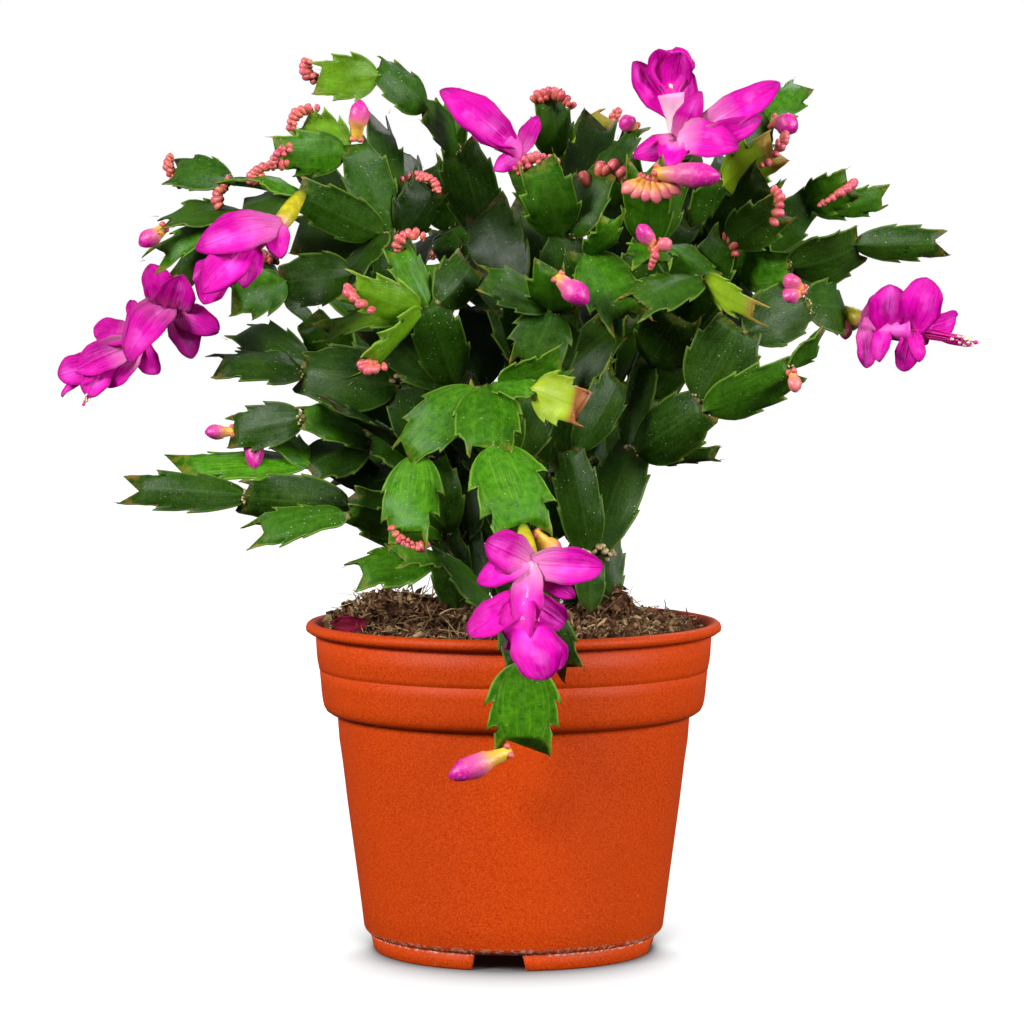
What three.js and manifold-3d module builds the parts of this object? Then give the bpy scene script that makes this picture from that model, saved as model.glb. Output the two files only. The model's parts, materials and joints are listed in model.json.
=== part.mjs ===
// A christmas cactus in flower, in a nursery pot of moulded plastic filled with peat.
// Millimetres, +Z up. The origin is the middle of the pot's foot, on the surface it stands on,
// and the front of the plant looks towards -Y.
import * as THREE from "three";
import { mergeVertices } from "three/addons/utils/BufferGeometryUtils.js";
import Module from "manifold-3d";

const wasm = await Module();
wasm.setup();

// ---------------------------------------------------------------- driving dimensions
const RIM_RADIUS = 65; // outside of the rolled lip
const POT_HEIGHT = 103;
const POT_SIDES = 28;
const LIP_HEIGHT = 3;
const COLLAR_RADIUS = 59.8; // under the lip the pot flares out to this, and on to the lip
const COLLAR_STEP = [8.2, 74.8]; // how far the body widens up to the collar, and its height there
const WALL = 1.5;
const FOOT_RING_HEIGHT = 5;
const FOOT_RING_RADIUS = 44.5;
const NOTCH_WIDTH = 17; // the four drain notches in the foot ring
const NOTCH_TURN = -96; // degrees from +X to the notch at the front
const DRAIN_HOLE_RADIUS = 3.5;
const SOIL_EDGE = 101; // height of the peat at the wall
const SOIL_CROWN = 104; // and in the middle
const ROOT_DEPTH = 12; // how deep each stem stands in its hole
const GAP = 0.3; // left between pieces that touch
const SWELL = GAP + 0.05; // of the room that is kept round a segment
const STAND_OFFS = [0, 0.4, 0.8, 1.2, 1.6, 2.2, 2.8, 3.4, 4]; // of a bud from its tip, beyond it
const SIDE_STEPS = [0, 1.2, -1.2, 2.4, -2.4, 3.4, -3.4]; // and out of its face

const RIB_THICKNESS = 3.8; // of a stem segment along its midrib, when old; its rim is sharp
const TIP_THICKNESS = 2.4; // of a segment where the next one grows out of it
const JOINT_SINK = 3.4; // how far a segment starts inside its parent
const PETAL_THICKNESS = 1.6;

// The plant is laid out as it lines up from the front: x and z in the plane through the pot's
// axis, as seen by an eye at this distance and height, and the depth behind that plane.
const EYE_DISTANCE = 1220;
const EYE_HEIGHT = 217;

const COLOURS = {
  pot: 0xbf4a1e,
  soil: 0x3b2a1e,
  segment: 0x2f5d1c,
  bead: 0xcf6a62,
  petal: 0xe010a8,
  ovary: 0xb9ac1f,
};

// ---------------------------------------------------------------- small helpers
const vec = (x, y, z) => new THREE.Vector3(x, y, z);
const radians = (degrees) => (degrees * Math.PI) / 180;

// The point that lines up with x and z in the axis plane and lies depth behind it.
function seen(x, z, depth) {
  const spread = (EYE_DISTANCE + depth) / EYE_DISTANCE;
  return vec(x * spread, depth, EYE_HEIGHT + (z - EYE_HEIGHT) * spread);
}

function solidOf(geometry) {
  const plain = geometry.clone();
  plain.deleteAttribute("normal");
  plain.deleteAttribute("uv");
  const merged = mergeVertices(plain, 1e-4);
  return new wasm.Manifold(
    new wasm.Mesh({
      numProp: 3,
      vertProperties: new Float32Array(merged.attributes.position.array),
      triVerts: new Uint32Array(merged.index.array),
    }),
  );
}

function geometryOf(solid) {
  const mesh = solid.getMesh();
  const geometry = new THREE.BufferGeometry();
  geometry.setAttribute("position", new THREE.BufferAttribute(mesh.vertProperties, 3));
  geometry.setIndex(new THREE.BufferAttribute(mesh.triVerts, 1));
  return geometry;
}

const joined = (solids) => wasm.Manifold.union(solids);

// A closed mesh from points and faces, each face a triangle of point numbers.
function closedGeometry(points, faces) {
  const geometry = new THREE.BufferGeometry();
  const corners = points.flatMap((point) => point.toArray());
  geometry.setAttribute("position", new THREE.Float32BufferAttribute(corners, 3));
  geometry.setIndex(faces.flat());
  return geometry;
}

// A lathed body about the axis from one point towards another; profile rows are [radius, along].
function turned(from, to, profile, sides) {
  const outline = profile.map(([radius, along]) => new THREE.Vector2(radius, along));
  const geometry = new THREE.LatheGeometry(outline, sides);
  const axis = to.clone().sub(from).normalize();
  geometry.applyQuaternion(new THREE.Quaternion().setFromUnitVectors(vec(0, 1, 0), axis));
  return geometry.translate(from.x, from.y, from.z);
}

// Axes of a blade from base to tip: along it, out of its face, and across it. The face looks at
// the reference direction as nearly as it can, then turns about the blade's own length.
function bladeAxes(base, tip, faces, turn) {
  const along = tip.clone().sub(base).normalize();
  const out = faces.clone().addScaledVector(along, -faces.dot(along)).normalize();
  out.applyAxisAngle(along, radians(turn));
  return { along, out, across: along.clone().cross(out) };
}

// A blade: two alike sheets of triangles that meet along a rim of numbered points, or are walled
// there where the blade has thickness. Rows are [along, across, half thickness, lift].
function bladeSolid(base, axes, rows, faces, rim) {
  const points = [];
  const sheets = rows.map(([u, v, half, lift]) => {
    const middle = base
      .clone()
      .addScaledVector(axes.along, u)
      .addScaledVector(axes.across, v)
      .addScaledVector(axes.out, lift);
    points.push(middle.clone().addScaledVector(axes.out, half));
    if (half > 0) points.push(middle.addScaledVector(axes.out, -half));
    return [points.length - (half > 0 ? 2 : 1), points.length - 1];
  });
  const above = (i) => sheets[i][0];
  const below = (i) => sheets[i][1];
  const triangles = [];
  for (const [a, b, c] of faces) {
    triangles.push([above(a), above(b), above(c)], [below(a), below(c), below(b)]);
  }
  rim.forEach((a, i) => {
    const b = rim[(i + 1) % rim.length];
    if (above(a) !== below(a)) triangles.push([above(a), below(a), above(b)]);
    if (above(b) !== below(b)) triangles.push([above(b), below(a), below(b)]);
  });
  return solidOf(closedGeometry(points, triangles));
}

// ---------------------------------------------------------------- the plant's layout
// A stem stands in the peat at its foot [x, z, depth] and carries segments, one row each:
// [row it grows from, x, z and depth of its tip, width, turn, youth]. A turn of 0 faces the
// viewer and youth goes from 0, old and dark, to 1, new and light. Row -1 is the foot.
const STEMS = [
  {
    name: "left",
    foot: [-18, 106, -6],
    rows: [
      [-1, -21, 130, -8, 13, 10, 0],
      [0, -27, 154, -10, 16, 5, 0],
      [1, -33, 178, -12, 17, 0, 0],
      [2, -37, 202, -14, 17, 0, 0],
      [3, -38, 225, -14, 16, 20, 0],
      [4, -50, 251, -22, 16, 18, 0.2],
      [4, -66, 236, -30, 14, -25, 0.1],
      [6, -84, 231, -18, 13, 35, 0],
      [7, -104, 210, -8, 14, 25, 0],
      [4, -42, 257, -6, 15, 60, 0],
      [4, -33, 248, 2, 13, -45, 0],
      [5, -65, 258, -26, 14, -10, 0.8],
      [5, -72, 249, -32, 14, 30, 0.6],
      [6, -80, 241, -36, 12, 40, 0.5],
      [6, -89, 240, -14, 10, 62, 0.4],
      [14, -105, 243, -8, 12, 20, 0.2],
      [7, -107, 227, -24, 13, 40, 0.1],
      [7, -109, 217, -30, 11, 35, 0.6],
      [4, -50, 211, -30, 14, 55, 0],
      [18, -72, 209, -38, 16, -20, 0],
      [19, -87, 204, -46, 15, 10, 0.4],
      [4, -67, 223, -4, 17, -42, 0],
    ],
  },
  {
    name: "left_low",
    from: ["left", 2],
    rows: [
      [-1, -66, 181, -8, 21, 0, 0],
      [0, -91, 183, -12, 14, 30, 0],
      [0, -84, 193, 4, 14, 20, 0],
    ],
  },
  {
    name: "left_lowest",
    from: ["left", 1],
    rows: [
      [-1, -46, 160, -16, 15, 40, 0.1],
      [0, -66, 166, -26, 14, 35, 0.2],
      [1, -87, 162, -22, 14, 0, 0],
      [0, -64, 150, -30, 16, 0, 0],
      [3, -80, 166, -42, 12, 35, 0.7],
      [3, -101, 151, -22, 13, 45, 0.7],
      [-1, -54, 148, 6, 14, 0, 0],
    ],
  },
  {
    name: "left_trail",
    from: ["left", 0],
    rows: [
      [-1, -51, 141, -28, 17, 25, 0],
      [0, -84, 142, -30, 16, 10, 0],
      [1, -118, 144, -26, 12, 10, 0],
      [-1, -52, 137, -36, 9, 50, 0.2],
      [3, -79, 130, -50, 14, 40, 0.3],
    ],
  },
  {
    name: "centre",
    foot: [9, 105, 2],
    rows: [
      [-1, 10, 129, 4, 13, -10, 0],
      [0, 11, 153, 4, 15, 0, 0],
      [1, 13, 177, 2, 16, 0, 0],
      [2, 15, 201, 0, 17, 0, 0],
      [3, 16, 224, -2, 16, 10, 0],
      [4, 2, 244, 2, 13, -30, 0.1],
      [4, 8, 244, -16, 17, 0, 0.3],
      [4, 28, 242, -12, 17, 0, 0.1],
      [4, 13, 248, 16, 14, 20, 0.1],
      [8, 11, 265, 16, 14, 20, 0.1],
      [8, 28, 259, 22, 12, -30, 0.9],
      [7, 38, 256, 4, 11, -40, 0],
      [3, -2, 229, 22, 20, 0, 0],
    ],
  },
  {
    name: "arch",
    from: ["centre", 2],
    rows: [
      [-1, -3, 200, 10, 17, -10, 0],
      [0, -9, 224, 10, 16, 0, 0],
      [1, -17, 251, 4, 17, 0, 0],
      [2, -28, 262, -6, 15, 30, 0.2],
      [3, -42, 275, -14, 14, 20, 0.2],
      [4, -60, 272, -24, 14, -15, 0.8],
      [2, -19, 265, 22, 10, -40, 0.4],
      [0, -20, 226, 26, 19, 0, 0],
      [7, -27, 244, 24, 14, 10, 0.1],
    ],
  },
  {
    name: "front",
    foot: [1, 105, -20],
    rows: [
      [-1, 0, 129, -22, 13, 0, 0],
      [0, -3, 153, -28, 16, -10, 0],
      [1, -8, 177, -38, 17, 0, 0.2],
      [2, -8, 157, -56, 20, 0, 0.5],
      [3, 3, 132, -66, 23, -12, 0.7],
      [2, -33, 156, -48, 18, 15, 0.5],
      [5, -33, 130, -58, 18, 10, 0.7],
      [2, 14, 184, -44, 14, 45, 0.5],
      [2, 6, 175, -56, 9, -30, 0.7],
      [8, 20, 170, -66, 15, 10, 1],
    ],
  },
  {
    name: "middle",
    from: ["front", 1],
    rows: [
      [-1, 9, 177, -24, 17, 0, 0],
      [0, 14, 201, -30, 17, 10, 0],
      [1, 5, 183, -46, 18, 0, 0.1],
      [1, -9, 209, -38, 13, 25, 0.1],
      [1, 11, 213, -48, 14, -20, 0.4],
      [0, 30, 194, -14, 17, 0, 0],
    ],
  },
  {
    name: "left_middle",
    from: ["front", 1],
    rows: [
      [-1, -18, 178, -30, 17, 0, 0],
      [0, -27, 202, -36, 16, 0, 0.1],
      [1, -50, 207, -46, 13, -30, 0.8],
      [1, -45, 184, -50, 16, 0, 0.8],
      [1, -57, 194, -34, 10, 30, 0.8],
      [1, -36, 218, -50, 11, 20, 0.5],
      [1, -14, 214, -26, 15, 30, 0],
      [0, -42, 195, -20, 16, 20, 0],
    ],
  },
  {
    name: "low",
    foot: [-6, 106, -34],
    rows: [
      [-1, -24, 124, -44, 15, 55, 0.1],
      [0, -48, 118, -52, 16, 45, 0.5],
      [0, -36, 124, -62, 12, 30, 0.4],
    ],
  },
  {
    name: "front_trail",
    foot: [10, 101, -33],
    rows: [
      [-1, 4, 114, -67, 14, 0, 0],
      [0, 3, 89, -74, 15, 0, 0],
      [1, 3, 65, -70, 21, 0, 0.7],
      [0, 17, 89, -74, 13, 45, 0],
    ],
  },
  {
    name: "right",
    foot: [24, 106, -24],
    rows: [
      [-1, 24, 124, -24, 9, 0, 0],
      [0, 17, 157, -28, 14, 10, 0],
      [0, 37, 157, -30, 17, -10, 0],
      [2, 60, 170, -34, 19, 0, 0],
      [3, 70, 195, -34, 21, 0, 0],
      [4, 91, 203, -24, 18, 10, 0],
      [5, 103, 200, -6, 17, 0, 0.1],
      [1, 32, 179, -26, 14, 30, 0],
      [2, 42, 184, -22, 14, -40, 0],
      [3, 87, 181, -40, 15, 25, 0.3],
      [9, 95, 193, -46, 9, 60, 0.2],
      [8, 51, 198, -32, 19, 0, 0],
      [2, 62, 155, -16, 8, 50, 0],
    ],
  },
  {
    name: "right_upper",
    foot: [27, 105, 2],
    rows: [
      [-1, 29, 129, 4, 13, 0, 0],
      [0, 32, 152, 8, 16, 0, 0],
      [1, 42, 174, 8, 17, 0, 0],
      [2, 53, 195, 6, 17, 0, 0],
      [3, 68, 216, 2, 17, 0, 0],
      [3, 66, 223, -14, 15, 0, 0.1],
      [5, 82, 231, -26, 15, 20, 0],
      [4, 86, 213, -14, 15, 25, 0.6],
      [7, 107, 221, -18, 18, 0, 0],
      [8, 132, 221, -22, 11, 20, 0],
      [4, 92, 234, 4, 15, 35, 0.1],
      [10, 104, 239, -6, 13, 20, 0.4],
      [10, 114, 235, 14, 10, 40, 0.4],
      [4, 96, 214, 14, 15, 0, 0],
    ],
  },
  {
    name: "centre_right",
    from: ["right_upper", 1],
    rows: [
      [-1, 30, 176, -4, 17, 0, 0],
      [0, 38, 199, -6, 18, 0, 0],
      [1, 43, 221, -12, 17, 0, 0.1],
      [2, 50, 245, -16, 13, 25, 0.2],
      [2, 41, 243, -34, 15, -10, 0.4],
      [1, 21, 218, -26, 14, 25, 0.2],
      [5, 35, 198, -36, 18, 0, 0.4],
      [5, 30, 228, -42, 10, 50, 0.7],
      [2, 43, 215, -36, 15, 15, 0.6],
      [2, 61, 210, -28, 14, -30, 0.2],
      [9, 39, 202, -44, 14, 30, 0.2],
      [9, 75, 200, -42, 9, 20, 0.9],
    ],
  },
  {
    name: "right_back",
    from: ["right_upper", 2],
    rows: [
      [-1, 53, 197, 22, 18, 0, 0],
      [0, 60, 220, 16, 17, 0, 0],
      [1, 64, 240, 4, 15, 0, 0.1],
      [2, 80, 249, -10, 15, 0, 0.9],
      [2, 78, 259, 14, 13, 30, 0.1],
      [4, 89, 269, 28, 11, 0, 0.5],
      [1, 84, 234, 24, 15, 0, 0.1],
      [1, 53, 247, 26, 16, 0, 0],
      [0, 36, 224, 30, 17, 0, 0],
      [8, 30, 252, 28, 16, 0, 0.1],
    ],
  },
];

// The stems round the back repeat one habit: each rises, arches over and forks. Rows as above,
// with the place of a tip as [how far out, degrees round from the stem's heading, height].
const BACK_HEADINGS = [38, 66, 94, 122, 152];
const BACK_FOOT = [22, 0, 104];
const BACK_ROWS = [
  [-1, 26, 0, 128, 11, 0, 0],
  [0, 34, 4, 152, 15, 20, 0],
  [1, 50, 0, 173, 18, -10, 0],
  [2, 72, -7, 186, 18, 10, 0],
  [3, 91, -4, 181, 17, 0, 0.2],
  [2, 64, 12, 196, 16, -20, 0.1],
  [5, 80, 16, 214, 15, 20, 0.6],
  [1, 42, -16, 176, 16, 0, 0.1],
  [7, 52, -14, 200, 16, 10, 0.1],
  [0, 50, 24, 148, 15, 20, 0.1],
];
const BACK_BUDS = { row: 6, spread: 4.2, bead: 4.6 }; // a row of beads across each one's top tip

// A bloom hangs from the tip of a segment. Its axis runs through [x, z, depth behind the tip]:
// ovary, throat and mouth. Each petal leaves point t of the axis for its tip: [t, x, z, depth
// behind the tip, width, turn, bow].
const BLOOMS = [
  {
    name: "far_left",
    stem: "left",
    row: 8,
    axis: [[-107, 200, -4], [-116, 190, -8], [-127, 183, -8]],
    petals: [
      [0, -114, 214, -10, 10, 0, 1],
      [0, -103, 211, -14, 12, 20, 1],
      [0, -92, 193, -8, 9, 0, 1],
      [0, -100, 185, -6, 10, -20, 1],
      [0, -120, 184, -20, 13, 10, 2],
      [1, -130, 191, -10, 8, 20, 1],
      [1, -119, 203, 0, 5, 0, 1],
      [1, -111, 180, -10, 8, 20, 1],
      [2, -142, 179, -12, 10, 0, 1],
      [2, -141, 173, -8, 5, 30, 1],
      [2, -133, 173, -14, 9, 0, 1],
    ],
  },
  {
    name: "left_upper",
    stem: "left",
    row: 6,
    axis: [[-73, 226, -6], [-82, 220, -8], [-91, 213, -10]],
    petals: [
      [0, -93, 227, -8, 7, 10, 1],
      [0, -99, 219, -17, 12, 0, 1.5],
      [0, -73, 216, -13, 8, 10, 1],
      [1, -84, 207, -16, 9, -10, 1],
      [1, -97, 205, -18, 12, 0, 1.5],
      [2, -97, 202, -12, 10, 0, 1],
      [2, -100, 210, -8, 8, 0, 1],
      [2, -90, 207, -6, 8, 0, 1],
    ],
  },
  {
    name: "top_left",
    stem: "centre",
    row: 5,
    axis: [[1, 247, -1], [0, 250, -2], [-3, 253, -3]],
    petals: [
      [0, -6, 243, -8, 6, 0, 1],
      [0, 8, 260, 3, 6, 0, 1],
      [1, -13, 255, -9, 7, 30, 1],
      [1, -23, 268, -8, 12, 0, 1.5],
      [1, -15, 264, 5, 10, -20, 1],
      [2, -19, 266, 2, 9, 30, 1],
    ],
  },
  {
    name: "top_right",
    stem: "centre_right",
    row: 3,
    axis: [[51, 252, -2], [50, 260, -3], [49, 267, -3]],
    petals: [
      [0, 83, 270, -2, 10, 10, 2],
      [0, 77, 260, -9, 9, 25, 2],
      [0, 70, 251, -14, 12, 0, 2],
      [0, 48, 244, -16, 10, 10, 1],
      [0, 37, 248, -12, 8, -10, 1],
      [0, 58, 268, -12, 8, 0, 1],
      [1, 37, 277, -6, 10, 0, -1],
      [1, 55, 274, 2, 9, 0, -1],
      [2, 45, 281, -8, 10, 0, -1],
      [2, 52, 280, -9, 10, 0, -1],
      [2, 49, 281, 5, 13, 0, 1],
    ],
  },
  {
    name: "right",
    stem: "right",
    row: 6,
    axis: [[109, 196, -2], [116, 194, -4], [124, 194, -6]],
    petals: [
      [0, 114, 204, 2, 7, 20, 1],
      [0, 110, 182, -6, 6, 0, 1],
      [1, 117, 208, -9, 12, 0, 1],
      [1, 114, 184, -10, 6, 20, 1],
      [2, 129, 210, -12, 13, 0, 1],
      [2, 138, 198, 4, 7, 30, 1],
      [2, 121, 181, -6, 7, 0, 1],
      [2, 127, 184, -10, 5, 0, 1],
      [2, 143, 189, -6, 3, 0, 0.3],
    ],
  },
  {
    name: "front",
    stem: "front",
    row: 4,
    axis: [[5, 121, -8], [4, 111, -14], [4, 102, -17]],
    petals: [
      [0, -9, 127, -16, 12, 0, 1],
      [0, -11, 114, -18, 8, 10, 1],
      [0, 28, 120, -14, 11, 10, 1],
      [0, 19, 110, -10, 6, 20, 1],
      [1, -14, 98, -20, 10, 0, 1],
      [1, 16, 102, -11, 9, 15, 1],
      [1, 0, 95, -20, 10, 10, 1.5],
      [2, 9, 84, -22, 14, 0, 2],
      [2, 15, 88, -12, 8, -20, 1],
    ],
  },
];

// Rows of small buds along the end of a segment, and the larger buds among them. A row runs
// from one point to the other, [x, z, depth behind the segment's tip]; bead is one bud's width.
const BUDS = [
  { name: "arch", stem: "arch", row: 5, from: [-63, 266, -2], to: [-68, 273, -4], bead: 4.6 },
  { name: "fan_top", stem: "left", row: 11, from: [-68, 256, -2], to: [-60, 262, -2], bead: 4.2 },
  { name: "fan_tall", stem: "left", row: 5, tip: [-47, 264, -2], wide: 6 },
  { name: "fan_left", stem: "left", row: 12, from: [-75, 245, -2], to: [-70, 251, -2], bead: 4 },
  { name: "fan_row", stem: "left", row: 13, from: [-81, 239, -3], to: [-72, 244, -5], bead: 4.4 },
  { name: "fan_olive", stem: "left", row: 14, from: [-94, 234, -2], to: [-91, 242, -2], bead: 4.6 },
  { name: "fan_end", stem: "left", row: 15, from: [-106, 239, -1], to: [-109, 247, -1], bead: 4.6 },
  { name: "fan_single", stem: "left", row: 16, tip: [-115, 221, -3], wide: 5.5 },
  { name: "mid_row", stem: "left_middle", row: 2, from: [-54, 202, -3], to: [-47, 195, -5], bead: 4.8 },
  { name: "mid_low", stem: "left_middle", row: 3, from: [-47, 180, -2], to: [-40, 179, -2], bead: 4.8 },
  { name: "mid_top", stem: "left_middle", row: 5, from: [-36, 221, -2], to: [-28, 224, -2], bead: 4.2 },
  { name: "low_single", stem: "left_lowest", row: 4, tip: [-81, 149, -10], wide: 6 },
  { name: "low_far", stem: "left_lowest", row: 2, tip: [-96, 162, -2], wide: 4.5 },
  { name: "front_row", stem: "front", row: 6, from: [-38, 132, -1], to: [-27, 127, -1], bead: 3.6 },
  { name: "front_single", stem: "front", row: 4, tip: [14, 123, 4], wide: 7 },
  { name: "trail_single", stem: "front_trail", row: 2, tip: [-20, 57, -6], wide: 7 },
  { name: "centre_arc", stem: "centre", row: 6, from: [2, 243, -3], to: [14, 245, -3], bead: 4.4 },
  { name: "centre_large", stem: "centre", row: 7, from: [22, 243, -3], to: [33, 245, -3], bead: 5.4 },
  { name: "centre_back", stem: "centre", row: 9, from: [5, 263, 0], to: [17, 261, 0], bead: 4.4 },
  { name: "centre_light", stem: "centre", row: 10, from: [29, 256, 0], to: [33, 262, 0], bead: 4.2 },
  { name: "fingers", stem: "centre_right", row: 4, from: [37, 237, -4], to: [49, 237, -4], bead: 5, drop: 4 },
  { name: "top_front", stem: "centre_right", row: 4, tip: [64, 242, -8], wide: 7.5 },
  { name: "light_row", stem: "centre_right", row: 8, from: [46, 221, -2], to: [48, 227, -1], bead: 4.4 },
  { name: "inner_single", stem: "middle", row: 4, tip: [23, 205, -5], wide: 7 },
  { name: "right_column", stem: "right_upper", row: 6, from: [82, 228, -2], to: [82, 238, -2], bead: 4.6 },
  { name: "right_small", stem: "right_upper", row: 5, from: [70, 224, -2], to: [73, 219, -3], bead: 5 },
  { name: "right_arc", stem: "right_upper", row: 11, from: [97, 233, -3], to: [106, 239, -2], bead: 4.8 },
  { name: "back_fan", stem: "right_back", row: 3, from: [78, 245, -3], to: [83, 253, -2], bead: 4.8 },
  { name: "back_magenta", stem: "right_back", row: 4, tip: [86, 257, -6], wide: 7 },
];

// ---------------------------------------------------------------- growing the stems
const VIEW_FACING = vec(0, -1, 0.2).normalize();
const SAMPLE_STEP = 4; // between the points tested on a blade
const CLEARANCE = 2.5; // kept on each side of a blade's own plane
const NEAR_JOINT = 9; // blades from one joint may meet this close to it
const JOINT_SETBACK = 1.2; // from a segment's tip to where the next one starts
const JOINT_SHIFT = 0.2; // of the parent's width, for one that goes straight sideways
const LEAN_STEP = 4;
const MOST_LEANS = 8;
const TURN_STEP = 25;

// The leans and turns a segment tries, the least bent first.
const BENDS = [];
for (let lean = -MOST_LEANS; lean <= MOST_LEANS; lean++) {
  for (let turn = -3; turn <= 3; turn++) BENDS.push([lean * LEAN_STEP, turn * TURN_STEP]);
}
const bendCost = ([lean, turn]) => Math.abs(lean) / LEAN_STEP + (1.3 * Math.abs(turn)) / TURN_STEP;
BENDS.sort((a, b) => bendCost(a) - bendCost(b) || a[0] - b[0] || a[1] - b[1]);

// Points over a blade's face, left out near its base.
function samplesOf(blade) {
  const points = [];
  const alongSteps = Math.max(2, Math.ceil((blade.length * 0.8) / SAMPLE_STEP));
  const acrossSteps = Math.max(2, Math.ceil(blade.width / SAMPLE_STEP));
  for (let i = 0; i <= alongSteps; i++) {
    const u = blade.length * (0.2 + (0.82 * i) / alongSteps);
    for (let j = 0; j <= acrossSteps; j++) {
      const v = blade.width * (j / acrossSteps - 0.5);
      points.push(blade.base.clone().addScaledVector(blade.along, u).addScaledVector(blade.across, v));
    }
  }
  return points;
}

function pointsInside(points, blade, joint) {
  let count = 0;
  for (const point of points) {
    if (joint && point.distanceTo(joint) < NEAR_JOINT) continue;
    const offset = point.clone().sub(blade.base);
    const u = offset.dot(blade.along);
    if (u < 0 || u > blade.length + 2) continue;
    if (Math.abs(offset.dot(blade.out)) > CLEARANCE) continue;
    if (Math.abs(offset.dot(blade.across)) < blade.width / 2 + 1.5) count += 1;
  }
  return count;
}

// How much a blade would run into those grown before it, the pot or the peat.
function blocked(blade, grown) {
  let count = 0;
  for (const point of blade.parent ? blade.samples : []) {
    if (point.z < POT_HEIGHT + 3 && Math.hypot(point.x, point.y) < RIM_RADIUS + 2.5) count += 1;
  }
  for (const other of grown) {
    if (other === blade.parent) continue;
    const reach = (blade.length + other.length) / 2 + 12;
    if (other.middle.distanceTo(blade.middle) > reach) continue;
    const joint = other.parent === blade.parent && blade.parent ? blade.base : null;
    count += pointsInside(blade.samples, other, joint) + pointsInside(other.samples, blade, joint);
  }
  return count;
}

function makeBlade(base, tip, width, facing, turn, details) {
  const axes = bladeAxes(base, tip, facing, turn);
  const blade = { base, tip, width, ...axes, length: base.distanceTo(tip), ...details };
  blade.middle = base.clone().lerp(tip, 0.5);
  blade.samples = samplesOf(blade);
  return blade;
}

// The tip of a row, leant away from its place in depth; rows at the back lean sideways.
function rowTip(stem, row, lean) {
  if (stem.heading === undefined) return seen(row[1], row[2], row[3] + lean);
  const bearing = radians(stem.heading + row[2]) + lean / row[1];
  return vec(row[1] * Math.cos(bearing), row[1] * Math.sin(bearing), row[3]);
}

// Where a stem stands in the peat, if it doesn't branch from another.
function footOf(stem) {
  if (stem.from) return null;
  if (stem.heading === undefined) return seen(...stem.foot);
  const bearing = radians(stem.heading);
  return vec(BACK_FOOT[0] * Math.cos(bearing), BACK_FOOT[0] * Math.sin(bearing), BACK_FOOT[2]);
}

// The place along a segment's tip where something grows: nearer the corner on the side it goes to.
function cornerOf(parent, tip) {
  const way = tip.clone().sub(parent.tip).normalize().dot(parent.across);
  return parent.tip.clone().addScaledVector(parent.across, JOINT_SHIFT * parent.width * way);
}

const jointOn = (parent, tip) => cornerOf(parent, tip).addScaledVector(parent.along, -JOINT_SETBACK);

function growStem(stem, grown, origin) {
  const bearing = radians(stem.heading ?? 0);
  const round = stem.heading !== undefined;
  const facing = round ? vec(Math.cos(bearing), Math.sin(bearing), 0.7).normalize() : VIEW_FACING;
  const blades = [];
  for (const row of stem.rows) {
    const parent = row[0] < 0 ? origin : blades[row[0]];
    const base = parent ? jointOn(parent, rowTip(stem, row, 0)) : footOf(stem);
    const [width, turn, youth] = row.slice(4);
    let best = null;
    for (const [lean, extraTurn] of BENDS) {
      const tip = rowTip(stem, row, lean);
      const blade = makeBlade(base, tip, width, facing, turn + extraTurn, { parent, youth });
      blade.lean = lean;
      blade.blocked = blocked(blade, grown);
      if (!best || blade.blocked < best.blocked) best = blade;
      if (best.blocked === 0) break;
    }
    blades.push(best);
    grown.push(best);
  }
  return blades;
}

// A bloom's petals, as blades that later segments keep clear of. The whole bloom is set a little
// nearer or farther where that keeps it clearer of the segments round it.
const BLOOM_LEANS = [0, -3, 3, -6, 6, -9, 9];

function growBloom(bloom, carrier, grown) {
  let best = null;
  for (const lean of BLOOM_LEANS) {
    const place = ([x, z, behind]) => seen(x, z, carrier.depthOfTip + lean + behind);
    const axis = bloom.axis.map(place);
    const petals = bloom.petals.map(([t, x, z, behind, width, turn, bow]) =>
      makeBlade(axis[t], place([x, z, behind]), width, VIEW_FACING, turn, { bow }),
    );
    const crossing = petals.reduce((sum, petal) => sum + blocked(petal, grown), 0);
    if (!best || crossing < best.crossing) best = { name: bloom.name, carrier, axis, petals, crossing };
  }
  grown.push(...best.petals);
  return best;
}

// ---------------------------------------------------------------- solids of the plant
// Half of a segment's outline, base to tip: [share of length, share of half width]. The teeth
// point towards the tip, a horn stands at the corner, and an old segment has lost a tooth.
const YOUNG_OUTLINE = [
  [0.24, 0.8],
  [0.46, 1.03],
  [0.51, 0.84],
  [0.75, 0.98],
  [0.8, 0.74],
  [1.05, 0.64],
];
const OLD_OUTLINE = [
  [0.28, 0.86],
  [0.58, 1.02],
  [0.64, 0.8],
  [1.04, 0.64],
];
const OLD_YOUTH = 0.05; // the most that counts as old
const TIP_NOTCH = 0.965; // share of the length, between the horns
const MIDRIB = [0.3, 0.72];

// Faces of a segment. Points go from the pointed base up the right side to the tip, down the
// left side, and then up the midrib, whose two points share each side's points between them.
function segmentFaces(sidePoints) {
  const tip = sidePoints + 1;
  const [lower, upper] = [2 * tip, 2 * tip + 1];
  const half = sidePoints / 2;
  const right = [[half, upper, lower]];
  for (let i = 0; i < tip; i++) right.push([i, i + 1, i < half ? lower : upper]);
  const mirrored = (i) => (i === 0 || i >= lower ? i : lower - i);
  return [...right, ...right.map(([a, b, c]) => [mirrored(a), mirrored(c), mirrored(b)])];
}

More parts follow.
